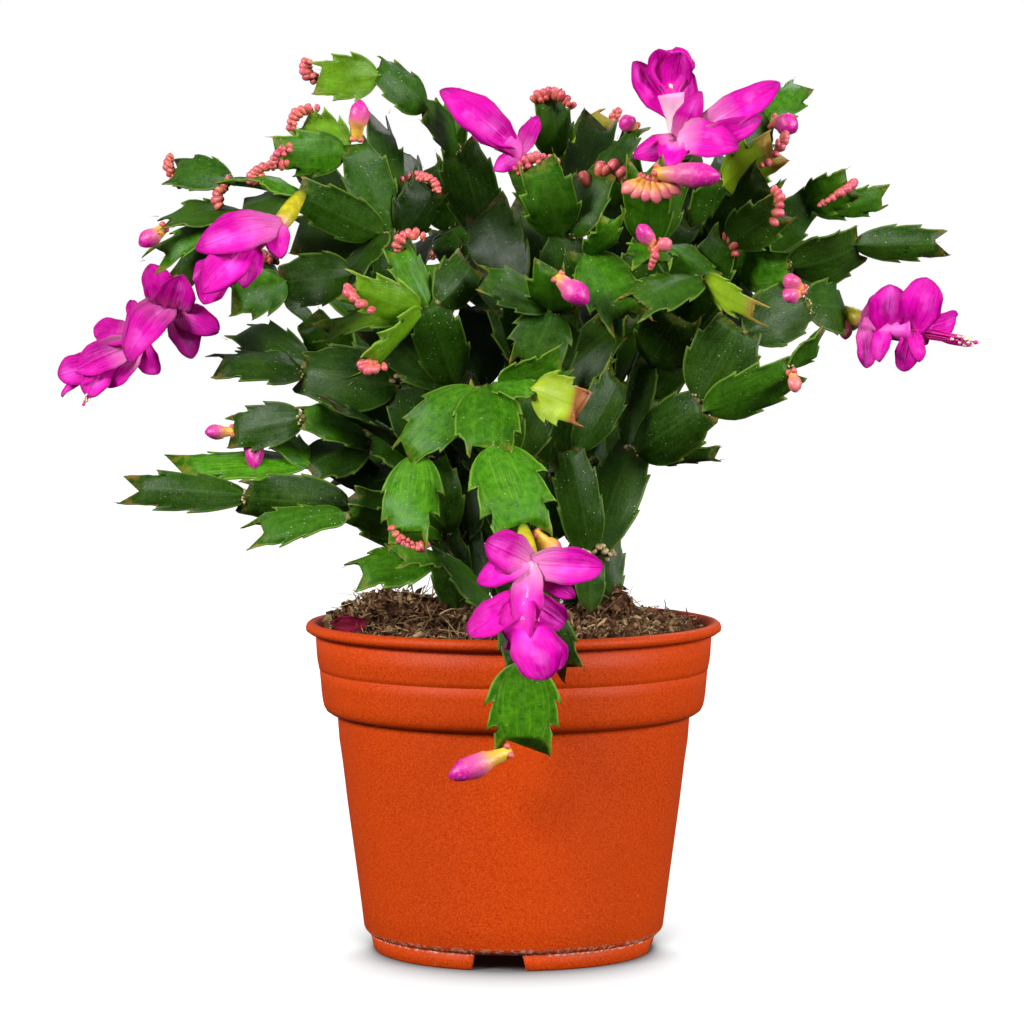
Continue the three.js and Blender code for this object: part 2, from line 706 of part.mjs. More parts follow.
// A segment as a solid. swell grows it on every side, to cut room for it in what it touches.
function segmentSolid(blade, swell = 0) {
  const { length, width, youth } = blade;
  const outline = youth > OLD_YOUTH ? YOUNG_OUTLINE : OLD_OUTLINE;
  const sink = blade.parent ? JOINT_SINK : ROOT_DEPTH;
  const rib = (RIB_THICKNESS / 2) * (1 - 0.35 * youth) + swell;
  const lift = (u) => 0.2 * length * u * (1 - Math.min(u, 1));
  const side = (sign) =>
    outline.map(([u, v]) => [
      u * length + swell * Math.sign(u - 0.6),
      sign * ((v * width) / 2 + swell),
      swell,
      lift(u) + 0.04 * width * v,
    ]);
  const rows = [
    [-sink - 2 * swell, 0, swell, 0],
    ...side(1),
    [TIP_NOTCH * length + swell, 0, TIP_THICKNESS / 2 + swell, 0],
    ...side(-1).reverse(),
    ...MIDRIB.map((u, i) => [u * length, 0, rib * (1 - 0.15 * i), lift(u)]),
  ];
  const rim = Array.from({ length: rows.length - MIDRIB.length }, (_, i) => i);
  return bladeSolid(blade.base, blade, rows, segmentFaces(outline.length), rim);
}

// Half of a petal's outline, and its faces round one middle point.
const PETAL_HALF = [
  [0.36, 0.84],
  [0.76, 0.86],
];
const PETAL_RIM = [0, 1, 2, 3, 4, 5];
const PETAL_FACES = PETAL_RIM.map((i) => [i, (i + 1) % PETAL_RIM.length, PETAL_RIM.length]);
const PETAL_SINK = 1.5; // how far its base starts inside the flower tube

function petalSolid(petal) {
  const { length, width, bow } = petal;
  const lift = (u) => bow * 0.5 * length * u * (1 - u);
  const side = (sign) =>
    PETAL_HALF.map(([u, v]) => [u * length, (sign * v * width) / 2, 0, lift(u) + 0.1 * width * v]);
  const rows = [
    [-PETAL_SINK, 0, 0, 0],
    ...side(1),
    [length, 0, 0, 0],
    ...side(-1).reverse(),
    [0.5 * length, 0, PETAL_THICKNESS / 2, lift(0.5)],
  ];
  return bladeSolid(petal.base, petal, rows, PETAL_FACES, PETAL_RIM);
}

const OVARY_SIDES = 6;
const OVARY_SETBACK = 1; // from the end of the ovary to the throat of the flower tube

function ovarySolid(from, throat, swell = 0) {
  const to = throat.clone().addScaledVector(throat.clone().sub(from).normalize(), -OVARY_SETBACK);
  const length = from.distanceTo(to);
  const profile = [
    [0, -swell],
    [1.7 + swell, -swell],
    [2.8 + swell, 0.5 * length],
    [1.9 + swell, length + swell],
    [0, length + swell],
  ];
  return solidOf(turned(from, to, profile, OVARY_SIDES));
}

const TUBE_SIDES = 6;
const THROAT_RADIUS = 2.2;
const MOUTH_RADIUS = 4.4;
const TUBE_ENDS = [0.6, 1.4]; // how far each length of tube is domed at its foot and its top

// The flower tube, which widens from the ovary along the bloom's axis.
function tubeSolids({ axis }) {
  const middle = (THROAT_RADIUS + MOUTH_RADIUS) / 2;
  const radii = [THROAT_RADIUS, middle, MOUTH_RADIUS];
  return axis.slice(1).map((to, i) => {
    const length = axis[i].distanceTo(to);
    const profile = [
      [0, -TUBE_ENDS[0]],
      [radii[i], 0],
      [radii[i + 1], length],
      [0, length + TUBE_ENDS[1]],
    ];
    return solidOf(turned(axis[i], to, profile, TUBE_SIDES));
  });
}

const BEAD_SIDES = 4;
const BEAD_SPACING = 1; // of a bead's width

// A row of beads side by side, each a bulge on one string.
function beadString(from, to, bead) {
  const length = from.distanceTo(to);
  const count = Math.max(1, Math.round(length / (BEAD_SPACING * bead)));
  const step = length / count;
  const profile = [[0, -0.5 * bead]];
  for (let i = 0; i <= count; i++) {
    profile.push([0.5 * bead, i * step]);
    if (i < count) profile.push([0.3 * bead, (i + 0.5) * step]);
  }
  profile.push([0, length + 0.5 * bead]);
  return solidOf(turned(from, to, profile, BEAD_SIDES));
}

const BUD_SINK = 0.8; // how far a large bud's pointed foot starts behind its place

function budSolid(from, tip, wide) {
  const length = from.distanceTo(tip);
  const profile = [
    [0, -BUD_SINK],
    [0.2 * wide, 0],
    [0.38 * wide, 0.3 * length],
    [0.5 * wide, 0.62 * length],
    [0.34 * wide, 0.88 * length],
    [0, length],
  ];
  return solidOf(turned(from, tip, profile, OVARY_SIDES));
}

// The buds at a segment's tip. A row of beads is drawn in until it touches the tip, or hangs
// that far below it.
function budCluster(bud, carrier) {
  const place = ([x, z, behind]) => seen(x, z, carrier.depthOfTip + behind);
  const start = carrier.tip;
  const solids = [];
  if (bud.spread) {
    const half = carrier.across.clone().multiplyScalar(bud.spread);
    solids.push(beadString(start.clone().sub(half), start.clone().add(half), bud.bead));
  }
  if (bud.from) {
    const row = new THREE.Line3(place(bud.from), place(bud.to));
    const nearest = row.closestPointToPoint(start, true, vec(0, 0, 0));
    const drawn = start.clone().sub(nearest);
    drawn.z -= bud.drop ?? 0;
    solids.push(beadString(row.start.add(drawn), row.end.add(drawn), bud.bead));
  }
  if (bud.tip) {
    const tip = place(bud.tip);
    solids.push(budSolid(cornerOf(carrier, tip), tip, bud.wide));
  }
  return solids;
}

// The largest body of a solid that cutting has left in pieces.
function largest(solid) {
  const bodies = solid.decompose();
  bodies.sort((a, b) => b.volume() - a.volume());
  return bodies[0];
}

function boxesMeet(a, b) {
  return [0, 1, 2].every((i) => a.min[i] < b.max[i] && b.min[i] < a.max[i]);
}

// ---------------------------------------------------------------- pot
function potSolid() {
  const bodyFoot = FOOT_RING_RADIUS + 2.5;
  const profile = [
    [0, FOOT_RING_HEIGHT],
    [FOOT_RING_RADIUS - 3.5, FOOT_RING_HEIGHT],
    [FOOT_RING_RADIUS - 3.5, 0],
    [FOOT_RING_RADIUS - 0.5, 0],
    [FOOT_RING_RADIUS + 1, FOOT_RING_HEIGHT],
    [bodyFoot, FOOT_RING_HEIGHT + 2],
    [bodyFoot + COLLAR_STEP[0], COLLAR_STEP[1]],
    [COLLAR_RADIUS - 0.6, COLLAR_STEP[1] + 2],
    [COLLAR_RADIUS + 2.4, POT_HEIGHT - LIP_HEIGHT - 0.4],
    [RIM_RADIUS - 0.8, POT_HEIGHT - LIP_HEIGHT],
    [RIM_RADIUS, POT_HEIGHT - 0.5 * LIP_HEIGHT],
    [RIM_RADIUS - 1.2, POT_HEIGHT],
    [COLLAR_RADIUS + 1.4, POT_HEIGHT - 0.6],
    [COLLAR_RADIUS - 1.2, COLLAR_STEP[1] + 4.5],
    [bodyFoot + COLLAR_STEP[0] - WALL, COLLAR_STEP[1]],
    [bodyFoot - WALL, FOOT_RING_HEIGHT + WALL],
    [0, FOOT_RING_HEIGHT + WALL],
  ];
  let pot = solidOf(turned(vec(0, 0, 0), vec(0, 0, 1), profile, POT_SIDES));
  for (const quarter of [0, 90, 180, 270]) {
    pot = pot.subtract(solidOf(notchGeometry(NOTCH_TURN + quarter)));
    pot = pot.subtract(drainHole(NOTCH_TURN + quarter, 30));
  }
  return pot.subtract(drainHole(0, 0));
}

// A trapezium, wider below, cut out of the foot ring.
function notchGeometry(degrees) {
  const below = NOTCH_WIDTH / 2 + 1;
  const above = NOTCH_WIDTH / 2 - 1.2;
  const top = FOOT_RING_HEIGHT - 0.02; // just under the pot's floor
  const shape = new THREE.Shape([
    new THREE.Vector2(-below, -1),
    new THREE.Vector2(below, -1),
    new THREE.Vector2(above, top),
    new THREE.Vector2(-above, top),
  ]);
  const geometry = new THREE.ExtrudeGeometry(shape, { depth: 12, bevelEnabled: false });
  geometry.rotateX(Math.PI / 2).translate(0, -FOOT_RING_RADIUS + 8, 0);
  return geometry.rotateZ(radians(degrees + 90));
}

function drainHole(degrees, radius) {
  const geometry = new THREE.CylinderGeometry(DRAIN_HOLE_RADIUS, DRAIN_HOLE_RADIUS, 6, 8);
  geometry.rotateX(Math.PI / 2).translate(radius, 0, FOOT_RING_HEIGHT + WALL / 2);
  return solidOf(geometry.rotateZ(radians(degrees)));
}

// ---------------------------------------------------------------- peat
const SOIL_SIDES = 16;
const HEAP_TOP = 120; // no peat stands higher

// Height of the peat's crumbly top, with a heap at the left and a lump at the right.
function soilHeight(x, y) {
  const radius = Math.hypot(x, y);
  const crown = SOIL_EDGE + (SOIL_CROWN - SOIL_EDGE) * (1 - (radius / 60) ** 2);
  const heap = 9 * Math.exp(-((x + 38) ** 2 + (y + 3) ** 2) / 320);
  const lump = 10 * Math.exp(-((x - 33) ** 2 + (y + 6) ** 2) / 40);
  const crumbs = Math.sin(x * 0.55 + y * 0.31) * Math.cos(y * 0.47 - x * 0.2);
  return crown + heap + lump + 1.1 * crumbs;
}

function soilSolid() {
  const profile = [
    [0, FOOT_RING_HEIGHT + WALL + GAP],
    [FOOT_RING_RADIUS - 0.5, FOOT_RING_HEIGHT + WALL + GAP],
    [53, 74.6],
    [57.7, 80],
    [59.6, 97.5],
    [48, SOIL_EDGE],
    [38, SOIL_EDGE],
    [27, SOIL_EDGE],
    [14, SOIL_EDGE],
    [0, SOIL_EDGE],
  ];
  const geometry = turned(vec(0, 0, 0), vec(0, 0, 1), profile, SOIL_SIDES);
  const position = geometry.attributes.position;
  for (let i = 0; i < position.count; i++) {
    if (position.getZ(i) < SOIL_EDGE - GAP) continue;
    position.setZ(i, soilHeight(position.getX(i), position.getY(i)));
  }
  return solidOf(geometry);
}

// ---------------------------------------------------------------- assembly
const backStems = BACK_HEADINGS.map((heading, i) => {
  return { name: `back_${i + 1}`, heading, rows: BACK_ROWS };
});

const grown = [];
const grownBlooms = [];
const stems = [];
for (const stem of [...STEMS, ...backStems]) {
  const root = stem.from ? stems.find(({ name }) => name === stem.from[0]) : null;
  const blades = growStem(stem, grown, root ? root.blades[stem.from[1]] : null);
  blades.forEach((blade, i) => {
    blade.depthOfTip = stem.rows[i][3] + blade.lean;
  });
  for (const bloom of BLOOMS.filter((each) => each.stem === stem.name)) {
    grownBlooms.push(growBloom(bloom, blades[bloom.row], grown));
  }
  stems.push({ name: stem.name, plant: root ? root.plant : stem.name, blades });
}

const bladesOf = Object.fromEntries(stems.map(({ name, blades }) => [name, blades]));
const allSegments = stems.flatMap(({ blades }) => blades);
const swollen = new Map(allSegments.map((blade) => [blade, segmentSolid(blade, SWELL)]));

// Room that is taken: by the segments, and then by each bloom and bud once it is placed.
const taken = [...swollen.values()].map((room) => ({ room, box: room.boundingBox() }));
const take = (room) => taken.push({ room, box: room.boundingBox() });

function takenNear(solid) {
  const box = solid.boundingBox();
  return taken.filter((each) => boxesMeet(box, each.box)).map(({ room }) => room);
}

const isClear = (solid) => takenNear(solid).every((room) => solid.intersect(room).isEmpty());

// What is left of a solid when room has been cut for what it touches.
function cleared(solid) {
  return largest(takenNear(solid).reduce((left, room) => left.subtract(room), solid));
}

// The way a solid stands off its segment's tip: as little as is clear.
const WAYS_OFF = STAND_OFFS.flatMap((beyond) => SIDE_STEPS.map((aside) => [beyond, aside]));
WAYS_OFF.sort((a, b) => Math.hypot(...a) - Math.hypot(...b) || b[1] - a[1]);

function standOff(make, { along, out }) {
  for (const [beyond, aside] of WAYS_OFF) {
    const away = along.clone().multiplyScalar(beyond).addScaledVector(out, aside);
    if (isClear(make(away))) return away;
  }
  return vec(0, 0, 0);
}

const pieces = [];
const addPiece = (name, solid, colour, roughness) => pieces.push({ name, solid, colour, roughness });

for (const { name } of stems.filter((stem) => stem.plant === stem.name)) {
  const blades = stems.filter(({ plant }) => plant === name).flatMap((stem) => stem.blades);
  const solid = joined(blades.map((blade) => segmentSolid(blade)));
  addPiece(`stem_${name}`, solid, COLOURS.segment, 0.45);
}

for (const bloom of grownBlooms) {
  const ovaryAt = (away, swell) => ovarySolid(bloom.carrier.tip.clone().add(away), bloom.axis[0], swell);
  const away = standOff(ovaryAt, bloom.carrier);
  addPiece(`ovary_${bloom.name}`, cleared(ovaryAt(away, 0)), COLOURS.ovary, 0.5);
  take(ovaryAt(away, GAP));
  const petals = cleared(joined([...tubeSolids(bloom), ...bloom.petals.map(petalSolid)]));
  addPiece(`bloom_${bloom.name}`, petals, COLOURS.petal, 0.5);
  take(petals);
}

const backBuds = backStems.map(({ name }) => ({ name, stem: name, ...BACK_BUDS }));
for (const bud of [...BUDS, ...backBuds]) {
  const carrier = bladesOf[bud.stem][bud.row];
  const cluster = joined(budCluster(bud, carrier));
  const budAt = (away) => cluster.translate(away.toArray());
  const solid = cleared(budAt(standOff(budAt, carrier)));
  addPiece(`buds_${bud.name}`, solid, COLOURS.bead, 0.5);
  take(solid);
}

let soil = soilSolid();
for (const blade of allSegments) {
  if (!blade.parent || blade.base.z < HEAP_TOP) soil = soil.subtract(swollen.get(blade));
}
addPiece("soil", largest(soil), COLOURS.soil, 0.95);
addPiece("pot", potSolid(), COLOURS.pot, 0.55);

const plant = new THREE.Group();
for (const { name, solid, colour, roughness } of pieces) {
  const material = new THREE.MeshStandardMaterial({ color: colour, roughness, metalness: 0 });
  const mesh = new THREE.Mesh(geometryOf(solid), material);
  mesh.name = name;
  plant.add(mesh);
}

export default plant;
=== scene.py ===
"""A christmas cactus in flower in a nursery pot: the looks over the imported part.

The plant is grown by the rules that its solids were grown by, in millimetres and from the same
tables, so that each fine segment, petal and bud lies in its solid's place.
"""

import json
import math
import random

import bpy
import numpy as np
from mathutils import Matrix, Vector

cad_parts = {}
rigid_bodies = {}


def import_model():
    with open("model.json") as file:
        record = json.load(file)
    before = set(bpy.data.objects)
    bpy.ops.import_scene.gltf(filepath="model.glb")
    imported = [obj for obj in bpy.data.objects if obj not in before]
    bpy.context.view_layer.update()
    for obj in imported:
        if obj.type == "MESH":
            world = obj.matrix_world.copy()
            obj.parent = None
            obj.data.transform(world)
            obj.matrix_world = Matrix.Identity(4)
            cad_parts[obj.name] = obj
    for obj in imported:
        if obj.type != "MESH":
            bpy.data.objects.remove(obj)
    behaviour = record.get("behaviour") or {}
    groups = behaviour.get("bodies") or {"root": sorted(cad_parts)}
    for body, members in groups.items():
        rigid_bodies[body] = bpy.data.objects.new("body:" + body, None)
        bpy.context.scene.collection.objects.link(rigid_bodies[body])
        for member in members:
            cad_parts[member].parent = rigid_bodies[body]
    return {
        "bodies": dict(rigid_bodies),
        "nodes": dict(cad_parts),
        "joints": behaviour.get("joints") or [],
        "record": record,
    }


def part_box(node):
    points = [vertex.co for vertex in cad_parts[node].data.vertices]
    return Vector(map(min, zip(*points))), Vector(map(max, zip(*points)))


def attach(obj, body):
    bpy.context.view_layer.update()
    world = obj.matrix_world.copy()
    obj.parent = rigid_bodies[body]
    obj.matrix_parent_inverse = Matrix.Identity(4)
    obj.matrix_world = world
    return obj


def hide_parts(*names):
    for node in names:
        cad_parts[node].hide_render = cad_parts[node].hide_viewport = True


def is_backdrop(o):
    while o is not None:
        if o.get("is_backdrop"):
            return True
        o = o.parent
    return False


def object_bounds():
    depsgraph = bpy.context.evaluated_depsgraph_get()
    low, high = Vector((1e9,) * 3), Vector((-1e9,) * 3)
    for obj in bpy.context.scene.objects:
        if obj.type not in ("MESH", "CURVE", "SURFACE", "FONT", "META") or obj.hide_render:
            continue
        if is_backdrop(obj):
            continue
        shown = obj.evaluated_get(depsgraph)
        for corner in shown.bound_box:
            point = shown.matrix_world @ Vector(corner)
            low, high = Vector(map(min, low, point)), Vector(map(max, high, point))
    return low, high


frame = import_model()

MM = 0.001
cad_low, cad_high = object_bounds()
scene = bpy.context.scene

# ---------- the plant's layout
EYE_DISTANCE = 1220
EYE_HEIGHT = 217

# Each stem's foot [x, z, depth] or the segment it branches from, and a row for each segment:
# [row it grows from, x, z and depth of its tip, width, turn, youth], the last two 0 if left out.
STEMS = {
    "left": ([-18, 106, -6], [
        [-1, -21, 130, -8, 13, 10], [0, -27, 154, -10, 16, 5], [1, -33, 178, -12, 17],
        [2, -37, 202, -14, 17], [3, -38, 225, -14, 16, 20], [4, -50, 251, -22, 16, 18, 0.2],
        [4, -66, 236, -30, 14, -25, 0.1], [6, -84, 231, -18, 13, 35], [7, -104, 210, -8, 14, 25],
        [4, -42, 257, -6, 15, 60], [4, -33, 248, 2, 13, -45], [5, -65, 258, -26, 14, -10, 0.8],
        [5, -72, 249, -32, 14, 30, 0.6], [6, -80, 241, -36, 12, 40, 0.5],
        [6, -89, 240, -14, 10, 62, 0.4], [14, -105, 243, -8, 12, 20, 0.2],
        [7, -107, 227, -24, 13, 40, 0.1], [7, -109, 217, -30, 11, 35, 0.6],
        [4, -50, 211, -30, 14, 55], [18, -72, 209, -38, 16, -20], [19, -87, 204, -46, 15, 10, 0.4],
        [4, -67, 223, -4, 17, -42],
    ]),
    "left_low": (("left", 2), [
        [-1, -66, 181, -8, 21], [0, -91, 183, -12, 14, 30], [0, -84, 193, 4, 14, 20],
    ]),
    "left_lowest": (("left", 1), [
        [-1, -46, 160, -16, 15, 40, 0.1], [0, -66, 166, -26, 14, 35, 0.2], [1, -87, 162, -22, 14],
        [0, -64, 150, -30, 16], [3, -80, 166, -42, 12, 35, 0.7], [3, -101, 151, -22, 13, 45, 0.7],
        [-1, -54, 148, 6, 14],
    ]),
    "left_trail": (("left", 0), [
        [-1, -51, 141, -28, 17, 25], [0, -84, 142, -30, 16, 10], [1, -118, 144, -26, 12, 10],
        [-1, -52, 137, -36, 9, 50, 0.2], [3, -79, 130, -50, 14, 40, 0.3],
    ]),
    "centre": ([9, 105, 2], [
        [-1, 10, 129, 4, 13, -10], [0, 11, 153, 4, 15], [1, 13, 177, 2, 16], [2, 15, 201, 0, 17],
        [3, 16, 224, -2, 16, 10], [4, 2, 244, 2, 13, -30, 0.1], [4, 8, 244, -16, 17, 0, 0.3],
        [4, 28, 242, -12, 17, 0, 0.1], [4, 13, 248, 16, 14, 20, 0.1],
        [8, 11, 265, 16, 14, 20, 0.1], [8, 28, 259, 22, 12, -30, 0.9], [7, 38, 256, 4, 11, -40],
        [3, -2, 229, 22, 20],
    ]),
    "arch": (("centre", 2), [
        [-1, -3, 200, 10, 17, -10], [0, -9, 224, 10, 16], [1, -17, 251, 4, 17],
        [2, -28, 262, -6, 15, 30, 0.2], [3, -42, 275, -14, 14, 20, 0.2],
        [4, -60, 272, -24, 14, -15, 0.8], [2, -19, 265, 22, 10, -40, 0.4], [0, -20, 226, 26, 19],
        [7, -27, 244, 24, 14, 10, 0.1],
    ]),
    "front": ([1, 105, -20], [
        [-1, 0, 129, -22, 13], [0, -3, 153, -28, 16, -10], [1, -8, 177, -38, 17, 0, 0.2],
        [2, -8, 157, -56, 20, 0, 0.5], [3, 3, 132, -66, 23, -12, 0.7],
        [2, -33, 156, -48, 18, 15, 0.5], [5, -33, 130, -58, 18, 10, 0.7],
        [2, 14, 184, -44, 14, 45, 0.5], [2, 6, 175, -56, 9, -30, 0.7],
        [8, 20, 170, -66, 15, 10, 1],
    ]),
    "middle": (("front", 1), [
        [-1, 9, 177, -24, 17], [0, 14, 201, -30, 17, 10], [1, 5, 183, -46, 18, 0, 0.1],
        [1, -9, 209, -38, 13, 25, 0.1], [1, 11, 213, -48, 14, -20, 0.4], [0, 30, 194, -14, 17],
    ]),
    "left_middle": (("front", 1), [
        [-1, -18, 178, -30, 17], [0, -27, 202, -36, 16, 0, 0.1], [1, -50, 207, -46, 13, -30, 0.8],
        [1, -45, 184, -50, 16, 0, 0.8], [1, -57, 194, -34, 10, 30, 0.8],
        [1, -36, 218, -50, 11, 20, 0.5], [1, -14, 214, -26, 15, 30], [0, -42, 195, -20, 16, 20],
    ]),
    "low": ([-6, 106, -34], [
        [-1, -24, 124, -44, 15, 55, 0.1], [0, -48, 118, -52, 16, 45, 0.5],
        [0, -36, 124, -62, 12, 30, 0.4],
    ]),
    "front_trail": ([10, 101, -33], [
        [-1, 4, 114, -67, 14], [0, 3, 89, -74, 15], [1, 3, 65, -70, 21, 0, 0.7],
        [0, 17, 89, -74, 13, 45],
    ]),
    "right": ([24, 106, -24], [
        [-1, 24, 124, -24, 9], [0, 17, 157, -28, 14, 10], [0, 37, 157, -30, 17, -10],
        [2, 60, 170, -34, 19], [3, 70, 195, -34, 21], [4, 91, 203, -24, 18, 10],
        [5, 103, 200, -6, 17, 0, 0.1], [1, 32, 179, -26, 14, 30], [2, 42, 184, -22, 14, -40],
        [3, 87, 181, -40, 15, 25, 0.3], [9, 95, 193, -46, 9, 60, 0.2], [8, 51, 198, -32, 19],
        [2, 62, 155, -16, 8, 50],
    ]),
    "right_upper": ([27, 105, 2], [
        [-1, 29, 129, 4, 13], [0, 32, 152, 8, 16], [1, 42, 174, 8, 17], [2, 53, 195, 6, 17],
        [3, 68, 216, 2, 17], [3, 66, 223, -14, 15, 0, 0.1], [5, 82, 231, -26, 15, 20],
        [4, 86, 213, -14, 15, 25, 0.6], [7, 107, 221, -18, 18], [8, 132, 221, -22, 11, 20],
        [4, 92, 234, 4, 15, 35, 0.1], [10, 104, 239, -6, 13, 20, 0.4],
        [10, 114, 235, 14, 10, 40, 0.4], [4, 96, 214, 14, 15],
    ]),
    "centre_right": (("right_upper", 1), [
        [-1, 30, 176, -4, 17], [0, 38, 199, -6, 18], [1, 43, 221, -12, 17, 0, 0.1],
        [2, 50, 245, -16, 13, 25, 0.2], [2, 41, 243, -34, 15, -10, 0.4],
        [1, 21, 218, -26, 14, 25, 0.2], [5, 35, 198, -36, 18, 0, 0.4],
        [5, 30, 228, -42, 10, 50, 0.7], [2, 43, 215, -36, 15, 15, 0.6],
        [2, 61, 210, -28, 14, -30, 0.2], [9, 39, 202, -44, 14, 30, 0.2],
        [9, 75, 200, -42, 9, 20, 0.9],
    ]),
    "right_back": (("right_upper", 2), [
        [-1, 53, 197, 22, 18], [0, 60, 220, 16, 17], [1, 64, 240, 4, 15, 0, 0.1],
        [2, 80, 249, -10, 15, 0, 0.9], [2, 78, 259, 14, 13, 30, 0.1], [4, 89, 269, 28, 11, 0, 0.5],
        [1, 84, 234, 24, 15, 0, 0.1], [1, 53, 247, 26, 16], [0, 36, 224, 30, 17],
        [8, 30, 252, 28, 16, 0, 0.1],
    ]),
}
BACK_HEADINGS = [38, 66, 94, 122, 152]
BACK_REACH, BACK_HEIGHT = 22, 104  # of the back stems' feet
BACK_ROWS = [
    [-1, 26, 0, 128, 11], [0, 34, 4, 152, 15, 20], [1, 50, 0, 173, 18, -10],
    [2, 72, -7, 186, 18, 10], [3, 91, -4, 181, 17, 0, 0.2], [2, 64, 12, 196, 16, -20, 0.1],
    [5, 80, 16, 214, 15, 20, 0.6], [1, 42, -16, 176, 16, 0, 0.1], [7, 52, -14, 200, 16, 10, 0.1],
    [0, 50, 24, 148, 15, 20, 0.1],
]
# Segments deep in the plant, behind the others and grown after them all; their skin is darkened
# with painted shade.
DEEP_STEMS = [
    (("left", 4), [[-1, -64, 244, 6, 15], [-1, -26, 238, 18, 17]]),
    (("left", 3), [[-1, -50, 216, 6, 16], [-1, -26, 222, 8, 16]]),
    (("centre", 2), [[-1, 25, 205, 14, 15]]),
    (("right_upper", 3), [[-1, 75, 198, 14, 16]]),
    (("centre", 2), [[-1, 2, 206, 18, 17], [0, -8, 230, 24, 19]]),
    (("centre", 3), [[-1, 9, 229, 26, 18]]),
    (("centre", 4), [[-1, 26, 257, 8, 15]]),
    (("centre", 0), [
        [-1, -6, 152, 18, 16], [0, -13, 176, 20, 17], [1, -10, 200, 24, 17], [-1, 15, 148, 24, 14],
    ]),
    (("centre_right", 0), [[-1, 34, 206, 26, 17], [0, 30, 232, 32, 18], [0, 53, 229, 32, 17]]),
    (("left", 1), [[-1, -55, 169, 2, 15]]),
    (("left", 0), [[-1, -52, 151, -12, 14, 20]]),
    (("right_back", 1), [[-1, 68, 246, 14, 15], [-1, 77, 240, 10, 14, 20]]),
    (("right_upper", 3), [[-1, 73, 207, 16, 15]]),
    (("centre", 0), [[-1, -19, 163, 28, 15]]),
]
# Each bloom's segment, its tube's axis as x, z and depth from that segment's tip, and its petals:
# [where on the axis it starts, x, z and depth of its tip, width, turn, bow], 0 and 1 left out.
BLOOMS = {
    "far_left": (("left", 8), [[-107, 200, -4], [-116, 190, -8], [-127, 183, -8]], [
        [0, -114, 214, -10, 10], [0, -103, 211, -14, 12, 20], [0, -92, 193, -8, 9],
        [0, -100, 185, -6, 10, -20], [0, -120, 184, -20, 13, 10, 2], [1, -130, 191, -10, 8, 20],
        [1, -119, 203, 0, 5], [1, -111, 180, -10, 8, 20], [2, -142, 179, -12, 10],
        [2, -141, 173, -8, 5, 30], [2, -133, 173, -14, 9],
    ]),
    "left_upper": (("left", 6), [[-73, 226, -6], [-82, 220, -8], [-91, 213, -10]], [
        [0, -93, 227, -8, 7, 10], [0, -99, 219, -17, 12, 0, 1.5], [0, -73, 216, -13, 8, 10],
        [1, -84, 207, -16, 9, -10], [1, -97, 205, -18, 12, 0, 1.5], [2, -97, 202, -12, 10],
        [2, -100, 210, -8, 8], [2, -90, 207, -6, 8],
    ]),
    "top_left": (("centre", 5), [[1, 247, -1], [0, 250, -2], [-3, 253, -3]], [
        [0, -6, 243, -8, 6], [0, 8, 260, 3, 6], [1, -13, 255, -9, 7, 30],
        [1, -23, 268, -8, 12, 0, 1.5], [1, -15, 264, 5, 10, -20], [2, -19, 266, 2, 9, 30],
    ]),
    "top_right": (("centre_right", 3), [[51, 252, -2], [50, 260, -3], [49, 267, -3]], [
        [0, 83, 270, -2, 10, 10, 2], [0, 77, 260, -9, 9, 25, 2], [0, 70, 251, -14, 12, 0, 2],
        [0, 48, 244, -16, 10, 10], [0, 37, 248, -12, 8, -10], [0, 58, 268, -12, 8],
        [1, 37, 277, -6, 10, 0, -1], [1, 55, 274, 2, 9, 0, -1], [2, 45, 281, -8, 10, 0, -1],
        [2, 52, 280, -9, 10, 0, -1], [2, 49, 281, 5, 13],
    ]),
    "right": (("right", 6), [[109, 196, -2], [116, 194, -4], [124, 194, -6]], [
        [0, 114, 204, 2, 7, 20], [0, 110, 182, -6, 6], [1, 117, 208, -9, 12],
        [1, 114, 184, -10, 6, 20], [2, 129, 210, -12, 13], [2, 138, 198, 4, 7, 30],
        [2, 121, 181, -6, 7], [2, 127, 184, -10, 5], [2, 143, 189, -6, 3, 0, 0.3],
    ]),
    "front": (("front", 4), [[5, 121, -8], [4, 111, -14], [4, 102, -17]], [
        [0, -9, 127, -16, 12], [0, -11, 114, -18, 8, 10], [0, 28, 120, -14, 11, 10],
        [0, 19, 110, -10, 6, 20], [1, -14, 98, -20, 10], [1, 16, 102, -11, 9, 15],
        [1, 0, 95, -20, 10, 10, 1.5], [2, 9, 84, -22, 14, 0, 2], [2, 15, 88, -12, 8, -20],
    ]),
}
